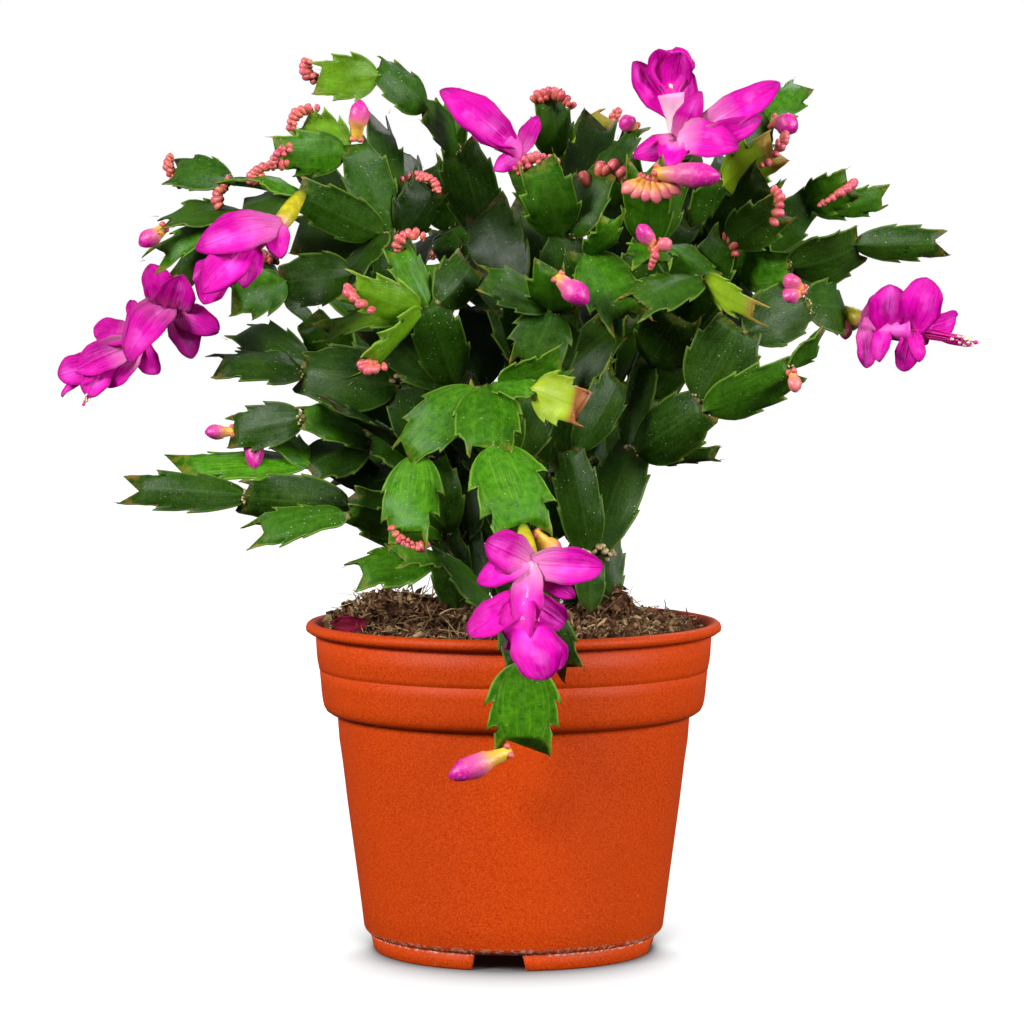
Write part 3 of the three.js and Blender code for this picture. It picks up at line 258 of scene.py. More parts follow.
# Buds: name, segment, how wide one is, then a row's two ends, or a large one's tip and what share
# of it is the yellow neck. Those without either hang from the tip. Ends are x, z and depth.
BUDS = [
    ["arch", ("arch", 5), 4.6, [-63, 266, -2], [-68, 273, -4]],
    ["fan_top", ("left", 11), 4.2, [-68, 256, -2], [-60, 262, -2]],
    ["fan_tall", ("left", 5), 6, [-47, 264, -2], 0.45],
    ["fan_left", ("left", 12), 4, [-75, 245, -2], [-70, 251, -2]],
    ["fan_row", ("left", 13), 4.4, [-81, 239, -3], [-72, 244, -5]],
    ["fan_olive", ("left", 14), 4.6, [-94, 234, -2], [-91, 242, -2]],
    ["fan_end", ("left", 15), 4.6, [-106, 239, -1], [-109, 247, -1]],
    ["fan_single", ("left", 16), 5.5, [-115, 221, -3], 0.3],
    ["mid_row", ("left_middle", 2), 4.8, [-54, 202, -3], [-47, 195, -5]],
    ["mid_low", ("left_middle", 3), 4.8, [-47, 180, -2], [-40, 179, -2]],
    ["mid_top", ("left_middle", 5), 4.2, [-36, 221, -2], [-28, 224, -2]],
    ["low_single", ("left_lowest", 4), 6, [-81, 149, -10], 0.35],
    ["low_far", ("left_lowest", 2), 4.5, [-96, 162, -2], 0.4],
    ["front_row", ("front", 6), 3.6, [-38, 132, -1], [-27, 127, -1]],
    ["front_single", ("front", 4), 7, [14, 123, 4], 0.5],
    ["trail_single", ("front_trail", 2), 7, [-20, 57, -6], 0.36],
    ["centre_arc", ("centre", 6), 4.4, [2, 243, -3], [14, 245, -3]],
    ["centre_large", ("centre", 7), 5.4, [22, 243, -3], [33, 245, -3]],
    ["centre_back", ("centre", 9), 4.4, [5, 263, 0], [17, 261, 0]],
    ["centre_light", ("centre", 10), 4.2, [29, 256, 0], [33, 262, 0]],
    ["fingers", ("centre_right", 4), 5],
    ["top_front", ("centre_right", 4), 7.5, [64, 242, -8], 0.14],
    ["light_row", ("centre_right", 8), 4.4, [46, 221, -2], [48, 227, -1]],
    ["inner_single", ("middle", 4), 7, [23, 205, -5], 0.12],
    ["right_column", ("right_upper", 6), 4.6, [82, 228, -2], [82, 238, -2]],
    ["right_small", ("right_upper", 5), 5, [70, 224, -2], [73, 219, -3]],
    ["right_arc", ("right_upper", 11), 4.8, [97, 233, -3], [106, 239, -2]],
    ["back_fan", ("right_back", 3), 4.8, [78, 245, -3], [83, 253, -2]],
    ["back_magenta", ("right_back", 4), 7, [86, 257, -6], 0.12],
]

# ---------- growing the stems
VIEW_FACING = np.array([0, -1, 0.2]) / math.hypot(1, 0.2)
SAMPLE_STEP = 4
CLEARANCE = 2.5
SIDE_ROOM = 1.5
NEAR_JOINT = 9
JOINT_SETBACK = 1.2
JOINT_SHIFT = 0.2
PEAT_TOP = 106
POT_ROOM = 67.5  # radius that segments keep clear of while they are lower than the peat's top
LEAN_STEP = 4
TURN_STEP = 25
BENDS = [(lean * LEAN_STEP, turn * TURN_STEP) for lean in range(-8, 9) for turn in range(-3, 4)]
BENDS.sort(key=lambda bend: (abs(bend[0]) / LEAN_STEP + (1.3 * abs(bend[1])) / TURN_STEP, *bend))
BLOOM_LEANS = [0, -3, 3, -6, 6, -9, 9]


def unit(vector):
    return vector / np.linalg.norm(vector)


def span(start, end):
    return float(np.linalg.norm(end - start))


def spoke(side, up, angle):
    return side * math.cos(angle) + up * math.sin(angle)


def seen(x, z, depth):
    """The point that lines up with x and z in the axis plane and lies depth behind it."""
    spread = (EYE_DISTANCE + depth) / EYE_DISTANCE
    return np.array([x * spread, depth, EYE_HEIGHT + (z - EYE_HEIGHT) * spread])


class Blade:
    """A flat piece from base to tip: along it, out of its face and across it are its axes."""

    def __init__(
        self, base, tip, width, facing=VIEW_FACING, turn=0, parent=None, youth=0, bow=0.0
    ):
        self.base, self.tip, self.width = base, tip, width
        self.parent, self.youth, self.bow = parent, youth, bow
        self.length = span(base, tip)
        self.along = (tip - base) / self.length
        out = unit(facing - self.along * facing.dot(self.along))
        self.out = spoke(out, np.cross(self.along, out), math.radians(turn))
        self.across = np.cross(self.along, self.out)
        self.middle = (base + tip) / 2
        rows = max(2, math.ceil(self.length * 0.8 / SAMPLE_STEP))
        columns = max(2, math.ceil(width / SAMPLE_STEP))
        u = self.length * (0.2 + 0.82 * np.arange(rows + 1) / rows)
        v = width * (np.arange(columns + 1) / columns - 0.5)
        sheet = u[:, None, None] * self.along + v[None, :, None] * self.across
        self.samples = (base + sheet).reshape(-1, 3)

    def at(self, u, v, lift=0.0):
        """The point at a share of the length and of the half width, lifted off the plane."""
        flat = self.base + self.along * (u * self.length) + self.across * (v * self.width / 2)
        return flat + self.out * lift

    def holds(self, points, joint):
        """How many of the points lie in the room that the blade keeps."""
        offset = points - self.base
        u = offset @ self.along
        inside = (u >= 0) & (u <= self.length + 2)
        inside &= np.abs(offset @ self.out) <= CLEARANCE
        inside &= np.abs(offset @ self.across) < self.width / 2 + SIDE_ROOM
        if joint is not None:
            inside &= np.linalg.norm(points - joint, axis=1) >= NEAR_JOINT
        return int(inside.sum())


def blocked(blade, grown):
    """How much a blade would run into those grown before it, the pot or the peat."""
    count = 0
    if blade.parent is not None:
        x, y, z = blade.samples.T
        count = int(((z < PEAT_TOP) & (np.hypot(x, y) < POT_ROOM)).sum())
    for other in grown:
        apart = other.middle - blade.middle
        reach = (blade.length + other.length) / 2 + 12
        if other is blade.parent or math.sqrt(apart.dot(apart)) > reach:
            continue
        siblings = blade.parent is not None and other.parent is blade.parent
        joint = blade.base if siblings else None
        count += other.holds(blade.samples, joint) + blade.holds(other.samples, joint)
    return count


def corner_of(parent, tip):
    """The place on a segment's tip where something grows: nearer the corner on its own side."""
    way = unit(tip - parent.tip).dot(parent.across)
    return parent.tip + parent.across * (JOINT_SHIFT * parent.width * way)


def grow_stem(root, rows, heading, grown):
    """Each segment takes the least bend that keeps it clear. Back stems have a heading."""
    bearing = math.radians(heading or 0)
    outward = np.array([math.cos(bearing), math.sin(bearing), 0])
    facing = VIEW_FACING if heading is None else unit(outward + [0, 0, 0.7])

    def tip_of(row, lean):
        if heading is None:
            return seen(row[1], row[2], row[3] + lean)
        way = math.radians(heading + row[2]) + lean / row[1]
        return np.array([row[1] * math.cos(way), row[1] * math.sin(way), row[3]])

    blades = []
    for row in rows:
        parent = blades[row[0]] if row[0] >= 0 else root if isinstance(root, Blade) else None
        if parent is not None:
            aim = tip_of(row, 0)
            base = corner_of(parent, aim) - parent.along * JOINT_SETBACK
        elif heading is None:
            base = seen(*root)
        else:
            base = outward * BACK_REACH + [0, 0, BACK_HEIGHT]
        width, turn, youth = (*row[4:], 0, 0)[:3]
        best = None
        for lean, more in BENDS:
            blade = Blade(base, tip_of(row, lean), width, facing, turn + more, parent, youth)
            crossing = blocked(blade, grown)
            if best is None or crossing < least:
                best, least, blade.depth = blade, crossing, row[3] + lean
            if least == 0:
                break
        blades.append(best)
        grown.append(best)
    return blades


def petals_of(rows, axis, depth):
    """A bloom's petals as blades, and where on its axis each of them starts."""
    for start, x, z, behind, width, *rest in rows:
        turn, bow = (*rest, *(0, 1)[len(rest) :])
        tip = seen(x, z, depth + behind)
        yield start, Blade(axis[start], tip, width, turn=turn, bow=bow)


def grow_bloom(name, carrier, axis_rows, petal_rows, grown):
    """The whole bloom takes the least lean that keeps its petals clear."""
    best = None
    for lean in BLOOM_LEANS:
        depth = carrier.depth + lean
        axis = [seen(x, z, depth + behind) for x, z, behind in axis_rows]
        petals = [*petals_of(petal_rows, axis, depth)]
        crossing = sum(blocked(petal, grown) for _, petal in petals)
        if best is None or crossing < least:
            best, least = (name, carrier, axis, petals), crossing
    grown.extend(petal for _, petal in best[3])
    return best


stems = [(name, root, rows, None) for name, (root, rows) in STEMS.items()]
stems += [(f"back_{i + 1}", None, BACK_ROWS, turn) for i, turn in enumerate(BACK_HEADINGS)]
stems += [(f"deep_{i + 1}", root, rows, None) for i, (root, rows) in enumerate(DEEP_STEMS)]
grown, blooms, blades_of, plant_of = [], [], {}, {}
for name, root, rows, heading in stems:
    plant_of[name] = name
    if isinstance(root, tuple):
        plant_of[name] = "deep" if name.startswith("deep") else plant_of[root[0]]
        root = blades_of[root[0]][root[1]]
    blades_of[name] = grow_stem(root, rows, heading, grown)
    for bloom, ((stem, row), axis, petals) in BLOOMS.items():
        if stem == name:
            blooms.append(grow_bloom(bloom, blades_of[name][row], axis, petals, grown))
for blade in grown:
    blade.last = not any(other.parent is blade for other in grown)


# ---------- meshes
class Shape:
    """Closed bodies gathered in millimetres, with four numbers a point for the material."""

    def __init__(self):
        self.points, self.faces, self.tints, self.count = [], [], [], 0

    def add(self, points, faces, tints):
        """Points and faces, with one tint for all the points or one for each."""
        self.points.append(np.asarray(points, float).reshape(-1, 3))
        added = len(self.points[-1])
        self.tints.append(np.broadcast_to(np.asarray(tints, float).reshape(-1, 4), (added, 4)))
        self.faces.extend([[i + self.count for i in face] for face in faces])
        self.count += added

    def loft(self, rings, tints):
        """Rings of points joined one to the next, and closed at both ends.

        There is one tint for all of them, one for each ring or one for each point.
        """
        rings, tints = np.asarray(rings, float), np.asarray(tints, float)
        rows, around = rings.shape[:2]
        faces = []
        for i in range(0, (rows - 1) * around, around):
            for j in range(around):
                k = (j + 1) % around
                faces.append([i + j, i + k, i + around + k, i + around + j])
        faces.append([*range(around - 1, -1, -1)])
        faces.append([*range((rows - 1) * around, rows * around)])
        tints = tints[:, None] if tints.ndim == 2 else tints
        self.add(rings, faces, np.broadcast_to(tints, (rows, around, 4)))

    def build(self, name, surface, slot, *replaces, centred=False):
        points = np.concatenate(self.points)
        if centred:  # on the middle of the solid that it replaces
            low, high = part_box(*replaces)
            middle = (points.min(axis=0) + points.max(axis=0)) / 2
            points = points + np.array((low + high) / 2) / MM - middle
        mesh = bpy.data.meshes.new(name)
        mesh.from_pydata((points * MM).tolist(), [], self.faces)
        mesh.shade_smooth()
        tint = mesh.attributes.new("tint", "FLOAT_COLOR", "POINT")
        tint.data.foreach_set("color", np.concatenate(self.tints).astype(np.float32).ravel())
        mesh.materials.append(surface)
        piece = bpy.data.objects.new(name, mesh)
        scene.collection.objects.link(piece)
        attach(piece, "root")
        if replaces:
            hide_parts(*replaces)


def frame_of(direction):
    """Two directions square to this one and to each other."""
    side = unit(np.cross(direction, [0, 0, 1] if abs(direction[2]) < 0.9 else [1, 0, 0]))
    return side, np.cross(direction, side)


def circle(sides):
    angle = np.arange(sides) * 2 * math.pi / sides
    return np.stack([np.cos(angle), np.sin(angle), 0 * angle], 1)


def turned(start, direction, profile, sides, ripple=0.0, lobes=3):
    """Rings of a round body: profile rows are (radius, how far along)."""
    axes = np.array([*frame_of(direction), direction])
    angle = np.arange(sides) * 2 * math.pi / sides
    rings = []
    for radius, along in profile:
        r = radius * (1 + ripple * np.sin(lobes * angle + 0.8 * along))
        rings.append(start + direction * along + (circle(sides) * r[:, None]) @ axes)
    return np.array(rings)


# ---------- stem segments
RIB_HALF = 1.5
RIM_HALF = 0.32
ACROSS = [-1, -0.95, -0.84, -0.66, -0.44, -0.2, 0, 0.2, 0.44, 0.66, 0.84, 0.95, 1]
RIMS = [(-1, 0.2), (0, -0.2)]  # a row's last and first points, and how far its edges stand off
NOTCH_ROWS = (10, 16, 21)  # of the outline, where bristles grow
NOTCH_HAIRS = 0.55  # share of the notches that hold one
SCAR_CRUMBS = 14
SMOOTH_OUTLINE = [
    (-0.02, 0.13), (0.02, 0.2), (0.06, 0.4), (0.12, 0.6), (0.2, 0.77), (0.32, 0.92), (0.5, 1),
    (0.7, 0.96), (0.85, 0.82), (1, 0.68),
]
OUTLINE_START = [
    (-0.02, 0.13), (0.015, 0.18), (0.05, 0.38), (0.1, 0.55), (0.17, 0.71), (0.25, 0.84),
    (0.34, 0.94),
]


def segment_outline(rng, youth, last):
    """One side of a segment, base to horn: rows of (share of length, share of half width).

    The last segment of a stem has deeper teeth and longer horns than those that carry others.
    """
    first = 0.46 + rng.uniform(-0.06, 0.03)
    second = 0.75 + rng.uniform(-0.03, 0.03)
    cut = (0.05 + 0.06 * last + 0.08 * youth) * rng.uniform(0.6, 1.5)
    horn = rng.uniform(0.52, 0.66) + 0.06 * last
    claw = (0.02 + 0.1 * last + 0.06 * youth) * rng.uniform(0.5, 1.2)
    return OUTLINE_START + [
        (first - 0.04, 1),
        (first + 0.045 + 0.2 * claw, 1.02 + 0.4 * cut),
        (first + 0.045, 0.98 + 0.1 * cut),
        (first + 0.03, 1.01 - cut),
        (first + 0.08, 0.99 - 0.6 * cut),
        (first + 0.16, 0.99 - 0.3 * cut),
        (second - 0.04, 0.97),
        (second + 0.045 + 0.2 * claw, 0.96 + 0.4 * cut),
        (second + 0.045, 0.91 + 0.2 * cut),
        (second + 0.03, 0.93 - 1.4 * cut),
        (second + 0.08, 0.86 - cut),
        (0.9, horn + 0.12),
        (0.97, horn + 0.09),
        (1.03 + 0.4 * claw, horn + 0.05 + 0.3 * claw),
        (1.05 + claw, horn - 0.04 + 0.6 * claw),
    ]


def lift_of(blade, u, v):
    """How far a segment's middle sheet stands off its own plane."""
    cup = blade.cup * blade.width * v * v * min(1, 2 * u)
    return blade.arch * blade.length * u * (1 - u) + cup


def add_segment(shape, blade, rng):
    youth = blade.youth
    sides = {sign: segment_outline(rng, youth, blade.last) for sign in (-1, 1)}
    wave, phase, twist = rng.uniform(0.4, 1.1), rng.uniform(0, 6), rng.uniform(-0.1, 0.1)
    blade.arch, blade.cup = rng.uniform(0.06, 0.3), rng.uniform(-0.1, 0.14)
    shade = rng.random()
    woody = 10 if blade.parent is None else 0
    rib = RIB_HALF * (1 - 0.35 * youth) - RIM_HALF
    inner = list(zip(*SMOOTH_OUTLINE))
    rings, tints = [], []
    for i in range(len(sides[1])):
        u_mid = -0.02 + 0.985 * (i / (len(sides[1]) - 1)) ** 1.25
        v_mid = float(np.interp(u_mid, *inner))
        top, under, tint = [], [], []
        for share in ACROSS:
            s = abs(share)
            u_side, v_side = sides[-1 if share < 0 else 1][i]
            to_rim = s**7 if s < 0.9 else s**3
            u = u_mid + (u_side - u_mid) * to_rim
            v = share * (v_mid + (v_side - v_mid) * to_rim)
            grow = min(1, 3 * max(u, 0))
            lift = lift_of(blade, u, v) + twist * blade.width * share * u
            lift += wave * math.sin(7 * u + phase + 1.3 * share) * s * grow
            lift += 0.3 * math.sin(17 * u + 2 * phase - 2 * share) * s**2 * grow
            thick = RIM_HALF + rib * (1 - s**1.3)
            thick += 0.5 * math.exp(-((share / 0.13) ** 2)) * (1 - 0.6 * u)
            thick += 0.3 * math.exp(-(((s - 0.5) / 0.12) ** 2)) * grow * min(1, 4 * (1.05 - u))
            thick *= 0.75 + 0.25 * min(1, max(0, (1 - u) * 6))
            top.append(blade.at(u, v, lift + thick))
            under.append(blade.at(u, v, lift - thick))
            tint.append((youth, shade, u + woody, s))
        right, left = [(top[k] + under[k]) / 2 + blade.across * off for k, off in RIMS]
        rings.append([*top, right, *under[::-1], left])
        tints.append([*tint, tint[-1], *tint[::-1], tint[0]])
    shape.loft(rings, tints)
    add_hairs(shape, blade, sides, rng)


def add_spike(shape, start, end, radius, tint):
    """A thin hair that tapers to its tip."""
    frame = frame_of(unit(end - start))
    ring = [start + radius * spoke(*frame, angle) for angle in (0, 2.1, 4.2)]
    shape.add([*ring, end], [[0, 2, 1], [0, 1, 3], [1, 2, 3], [2, 0, 3]], tint)


def add_crumb(shape, middle, way, size, rng, tint):
    rows = [(0.25, -0.8), (0.85, -0.5), (1, 0), (0.8, 0.5), (0.3, 0.85)]
    rows = [(0.6 * size * q * rng.uniform(0.7, 1.3), size * p) for q, p in rows]
    shape.loft(turned(middle, way, rows, 6, 0.2, 2), tint)


def add_hairs(shape, blade, sides, rng):
    """Bristles in the notches and along the tip."""
    tint = (2, rng.random(), 0.5, 0.5)
    notches = [(sign, side[row]) for sign, side in sides.items() for row in NOTCH_ROWS]
    roots = [(u, sign * v) for sign, (u, v) in notches if rng.random() < NOTCH_HAIRS]
    roots += [(0.97, rng.uniform(-0.5, 0.5)) for _ in range(rng.randrange(1, 6))]
    for u, v in roots:
        root = blade.at(u, v, lift_of(blade, u, v))
        way = blade.along + blade.across * v * rng.uniform(0, 0.9)
        way = unit(way + blade.out * rng.uniform(-0.5, 0.5))
        add_spike(shape, root - way * 0.6, root + way * rng.uniform(0.8, 2.6), 0.12, tint)


def add_scar(shape, blade, rng, scale=1.0):
    """The thin corky crust where a segment joins the one below."""
    half = scale * (0.09 * blade.width + 0.9)
    for k in range(SCAR_CRUMBS):
        at = blade.base + blade.along * (1.3 + rng.uniform(-0.5, 0.5)) * scale
        turn = k * 2 * math.pi / SCAR_CRUMBS
        at = at + spoke(blade.across * half, blade.out * scale * 1.5, turn)
        way = blade.across + blade.along * rng.uniform(-0.6, 0.6)
        way = unit(way + blade.out * rng.uniform(-0.6, 0.6))
        add_crumb(shape, at, way, scale * rng.uniform(0.5, 0.85), rng, (3, rng.random(), 0, 0))


# ---------- flowers
# Share of a petal's length, and of its half width there when pointed and when blunt.
PETAL_ROWS = [
    (0, 0.34, 0.34), (0.07, 0.42, 0.42), (0.16, 0.58, 0.58), (0.28, 0.8, 0.8), (0.4, 0.95, 0.94),
    (0.52, 1.02, 1), (0.63, 1, 1.03), (0.73, 0.89, 1), (0.81, 0.74, 0.92), (0.88, 0.56, 0.79),
    (0.94, 0.36, 0.6), (0.98, 0.19, 0.36), (1, 0.05, 0.12),
]
PETAL_ACROSS = [-1, -0.8, -0.55, -0.27, 0, 0.27, 0.55, 0.8, 1]
PETAL_SINK = 1.5  # how far a petal starts inside the tube
TUBE_STEPS = 5  # along each of a tube's two legs
FAR_PETALS, STAMENS = 6, 18
# How white a flower's tube is, how blunt its petals are, and where stamens end that show: x, z
# and depth behind the mouth.
PALE_TUBES = {"top_right": 0.9, "front": 0.5}
BLUNT_TIPS = {"right": 0.9, "front": 0.85, "far_left": 0.55, "top_right": 0.35}
STAMEN_ENDS = {"far_left": (-134, 171, -6), "right": (144, 190, -6)}
# Petals over the tube besides those of the table, in rows like its own.
MORE_PETALS = {
    "front": [[0, 3, 99, -11, 9.5, 0, 1.2]],
    "far_left": [[1, -131, 194, -4, 9], [1, -137, 181, -8, 10], [1, -127, 176, -6, 9]],
}


def add_petal(shape, petal, rng, pale=0.0, blunt=0.5):
    length, width = petal.length, petal.width
    wave, phase = rng.uniform(0.3, 0.8), rng.uniform(0, 6)
    fold, folds = rng.uniform(0.03, 0.06) * width, rng.uniform(2.2, 4.4)
    blunt = min(1, max(0, blunt + rng.uniform(-0.2, 0.2)))
    skew = rng.uniform(-0.12, 0.12)
    rings, tints = [], []
    shade = rng.random()
    for u, pointed, rounded in PETAL_ROWS:
        v_side = pointed + (rounded - pointed) * blunt
        at = (u * (length + PETAL_SINK) - PETAL_SINK) / length
        top, under, tint = [], [], []
        for share in PETAL_ACROSS:
            s = abs(share)
            v = share * v_side * (1 + 0.06 * math.sin(17 * u + phase + share)) + skew * u * u
            lift = petal.bow * 0.5 * length * u * (1 - u) + 0.16 * width * abs(v)
            lift += wave * math.sin(9 * u + phase + 2 * share) * s
            lift += fold * math.cos(folds * math.pi * share + phase) * min(1, 4 * u * (1.02 - u))
            thick = 0.12 + 0.26 * (1 - s**2) * (1 - 0.5 * u)
            top.append(petal.at(at, v, lift + thick))
            under.append(petal.at(at, v, lift - thick))
            tint.append((u, shade, s, pale))
        rings.append([*top, *under[::-1]])
        tints.append([*tint, *tint[::-1]])
    shape.loft(rings, tints)


def thread(shape, start, bend, end, radius, tints):
    """A round thread along a bow through two ends, bent towards a third point."""
    rings = []
    for k in range(len(tints)):
        t = k / (len(tints) - 1)
        at = start * (1 - t) ** 2 + bend * 2 * t * (1 - t) + end * t * t
        rings.append(turned(at, unit(end - start), [(radius * (1 - 0.4 * t), 0)], 6)[0])
    shape.loft(rings, tints)


def add_bloom(name, axis, petals, rng):
    """Tube, petals in tiers, and the petals on the far side that the tube carries too."""
    shape = Shape()
    ways = [unit(axis[1] - axis[0]), unit(axis[2] - axis[1])]
    pale, blunt = PALE_TUBES.get(name, 0.12), BLUNT_TIPS.get(name, 0.1)
    rings, tints = [], []
    for step in range(2 * TUBE_STEPS + 1):
        t = step / TUBE_STEPS
        leg = 0 if t < 1 else 1
        at = axis[leg] + ways[leg] * span(axis[leg], axis[leg + 1]) * (t - leg)
        way = unit(ways[0] * (2 - t) + ways[1] * t)
        rings.append(turned(at, way, [(2.1 + 2.1 * (t / 2) ** 1.5, 0)], 18, 0.07, 5)[0])
        tints.append((0.2 * t, 0.5, 0.4, pale))
    shape.loft(rings, tints)
    for start, petal in petals:
        add_petal(shape, petal, rng, 0.0 if start else 0.4 * pale + 0.12, blunt)
    for _, petal in petals_of(MORE_PETALS.get(name, []), axis, axis[0][1]):
        add_petal(shape, petal, rng, 0.4, blunt)
    frame = frame_of(ways[1])
    inner = min(petal.length for _, petal in petals)
    for k in range(FAR_PETALS):
        out = spoke(*frame, k * 2 * math.pi / FAR_PETALS + rng.uniform(-0.3, 0.3))
        if out[1] < 0:
            continue
        start = axis[2] + out * 2.4 - ways[1] * 1.5
        tip = start + ways[1] * inner * 0.62 + out * inner * rng.uniform(0.2, 0.42)
        add_petal(shape, Blade(start, tip, 6.5, -out, bow=0.8), rng, 0.2)
    return shape


def add_stamens(name, axis, rng):
    """The bundle of stamens round the style; both end beyond the mouth where they show."""
    shape = Shape()
    white, pink, cream = [(tone, 0.5, 0, 0) for tone in (0.2, 0.5, 0.9)]
    way = unit(axis[2] - axis[1])
    frame = frame_of(way)
    end = axis[2] + way * 3
    if name in STAMEN_ENDS:
        x, z, behind = STAMEN_ENDS[name]
        end = seen(x, z, axis[2][1] + behind)
    for _ in range(STAMENS):
        angle, r = rng.uniform(0, 6.28), rng.uniform(0.3, 1.9)
        out = spoke(*frame, angle)
        tip = axis[2] + (end - axis[2]) * rng.uniform(0.6, 0.95) + out * r * 0.8
        tints = [white] * 2 + [pink] * 3
        thread(shape, axis[1] + out * r, axis[2] + out * r, tip, 0.24, tints)
        add_crumb(shape, tip, unit(tip - axis[2]), 0.75, rng, cream)
    thread(shape, axis[1], axis[2], end, 0.4, [pink] * 7)
    add_crumb(shape, end, unit(end - axis[2]), 1.1, rng, pink)
    return shape


def add_ovary(start, throat):
    shape = Shape()
    length = span(start, throat) - 0.4
    rows = [(1.9, 0.1), (2.5, 0.35), (2.85, 0.6), (2.7, 0.8), (2.2, 0.95), (1.9, 1)]
    profile = [(1.5, -0.4)] + [(radius, share * length) for radius, share in rows]
    rings = turned(start, unit(throat - start), profile, 16, 0.05, 5)
    shape.loft(rings, [(along / length, 0.5, 0, 0) for _, along in profile])
    return shape


# ---------- buds
def add_bead(shape, middle, way, wide, long, rng, warm=1.0):
    """One small bud: an egg with a point, its foot in dry scales, darkened partly with painted
    shade.
    """
    profile = []
    for k in range(9):
        a = math.pi * (k + 0.2) / 8.4
        belly = math.sin(a) ** 0.8 * (1 - 0.14 * math.cos(a))
        profile.append((0.5 * wide * belly, -0.5 * long * math.cos(a)))
    shade = rng.random()
    rings = turned(middle, way, profile, 12, 0.07, 3)
    shape.loft(rings, [(k / 8, shade, warm, 0) for k in range(9)])


def bead_row(shape, start, end, blade, bead, rng):
    """Small buds shoulder to shoulder along the end of a segment, in a bow."""
    length, way, out = span(start, end), unit(end - start), blade.out
    kernel, room = (0.84 * bead, 0.8 * bead) if bead > 5 else (0.6 * bead, 0.46 * bead)
    count = max(3, round(1.15 * length / room) + 1)
    for k in range(count):
        t = k / (count - 1)
        dip = 0.26 * length * (2 * t - 1) ** 2
        middle = start + way * length * t - blade.along * dip
        size = kernel * (0.82 + 0.2 * math.sin(math.pi * t)) * rng.uniform(0.85, 1.12)
        lean = unit(blade.along + way * (2 * t - 1) * 0.9 + out * rng.uniform(-0.3, 0.5))
        long = size * rng.uniform(1.35, 1.7)
        add_bead(shape, middle, lean, size, long, rng, rng.random())
        for side in (-1, 1):
            if rng.random() < 0.4:
                off = out * side * rng.uniform(0.5, 0.7) - blade.along * rng.uniform(0.3, 0.6)
                lean_out = unit(lean + out * side * 0.6)
                add_bead(shape, middle + off * size, lean_out, size * 0.7, size, rng)


def hanging_row(shape, blade, rng):
    """Longer buds that hang fanned out from a tip bent towards the viewer."""
    for k in range(6):
        swing = math.radians(-58 + 23 * k + rng.uniform(-4, 4))
        way = unit(np.array([math.sin(swing), -0.4, -math.cos(swing)]))
        start = blade.tip + blade.across * (k - 2.5) * 0.9
        tip = start + way * rng.uniform(7.6, 9.2)
        add_bud(shape, start, tip, rng.uniform(4, 4.8), rng, 0.6, 1)


def add_bud(shape, start, tip, wide, rng, neck=0.3, warm=0.0):
    """A large bud: a yellow neck, then scaly petals shut to a point."""
    way, length = unit(tip - start), span(start, tip)
    rows = [(0.17, -0.03), (0.25, 0.04), (0.3, 0.14), (0.34, 0.24), (0.36, 0.33), (0.44, 0.38)]
    rows += [(0.5, 0.5), (0.52, 0.62), (0.48, 0.74), (0.4, 0.84), (0.28, 0.92), (0.1, 1)]
    rings = turned(start, way, [(r * wide, u * length) for r, u in rows], 18, 0.08, 3)
    shade = rng.random()
    shares = np.interp([u for _, u in rows], [0, neck, 1], [0, 0.35, 1])
    shape.loft(rings, [(1 + u, shade, warm, 0) for u in shares])
    frame = frame_of(way)
    for k in range(3):
        out = spoke(*frame, k * 2 * math.pi / 3 + rng.uniform(0, 1))
        foot = start + out * 0.26 * wide + way * 0.3
        add_bead(shape, foot, unit(out + way * 0.4), 1.9, 2.2, rng)


# ---------- materials
def colour(red, green, blue):
    """A display colour from 0 to 255 as linear light."""
    parts = [channel / 255 for channel in (red, green, blue)]
    return [p / 12.92 if p <= 0.04045 else ((p + 0.055) / 1.055) ** 2.4 for p in parts] + [1.0]


class Nodes:
    """A node tree, built with few words."""

    def __init__(self, owner, shader, values):
        owner.use_nodes = True
        self.tree = owner.node_tree
        self.shader = self.tree.nodes[shader]
        for key, value in values.items():
            self.shader.inputs[key.replace("_", " ")].default_value = value

    def node(self, kind, inputs=(), **settings):
        node = self.tree.nodes.new(kind)
        for key, value in settings.items():
            setattr(node, key, value)
        for key, value in dict(inputs).items():
            if isinstance(value, bpy.types.NodeSocket):
                self.tree.links.new(value, node.inputs[key])
            else:
                node.inputs[key].default_value = value
        return node

    def feed(self, name, value):
        self.tree.links.new(value, self.shader.inputs[name])

    def band(self, value, low, high, out_low=0.0, out_high=1.0):
        """The value's way from low to high, as a number between the two that come out."""
        settings = {0: value, 1: low, 2: high, 3: out_low, 4: out_high}
        return self.node("ShaderNodeMapRange", settings).outputs[0]

    def math(self, operation, a, b=0.0):
        return self.node("ShaderNodeMath", {0: a, 1: b}, operation=operation).outputs[0]

    def times(self, a, b):
        return self.math("MULTIPLY", a, b)

    def vector(self, operation, a, b=(0, 0, 0)):
        return self.node("ShaderNodeVectorMath", {0: a, 1: b}, operation=operation).outputs


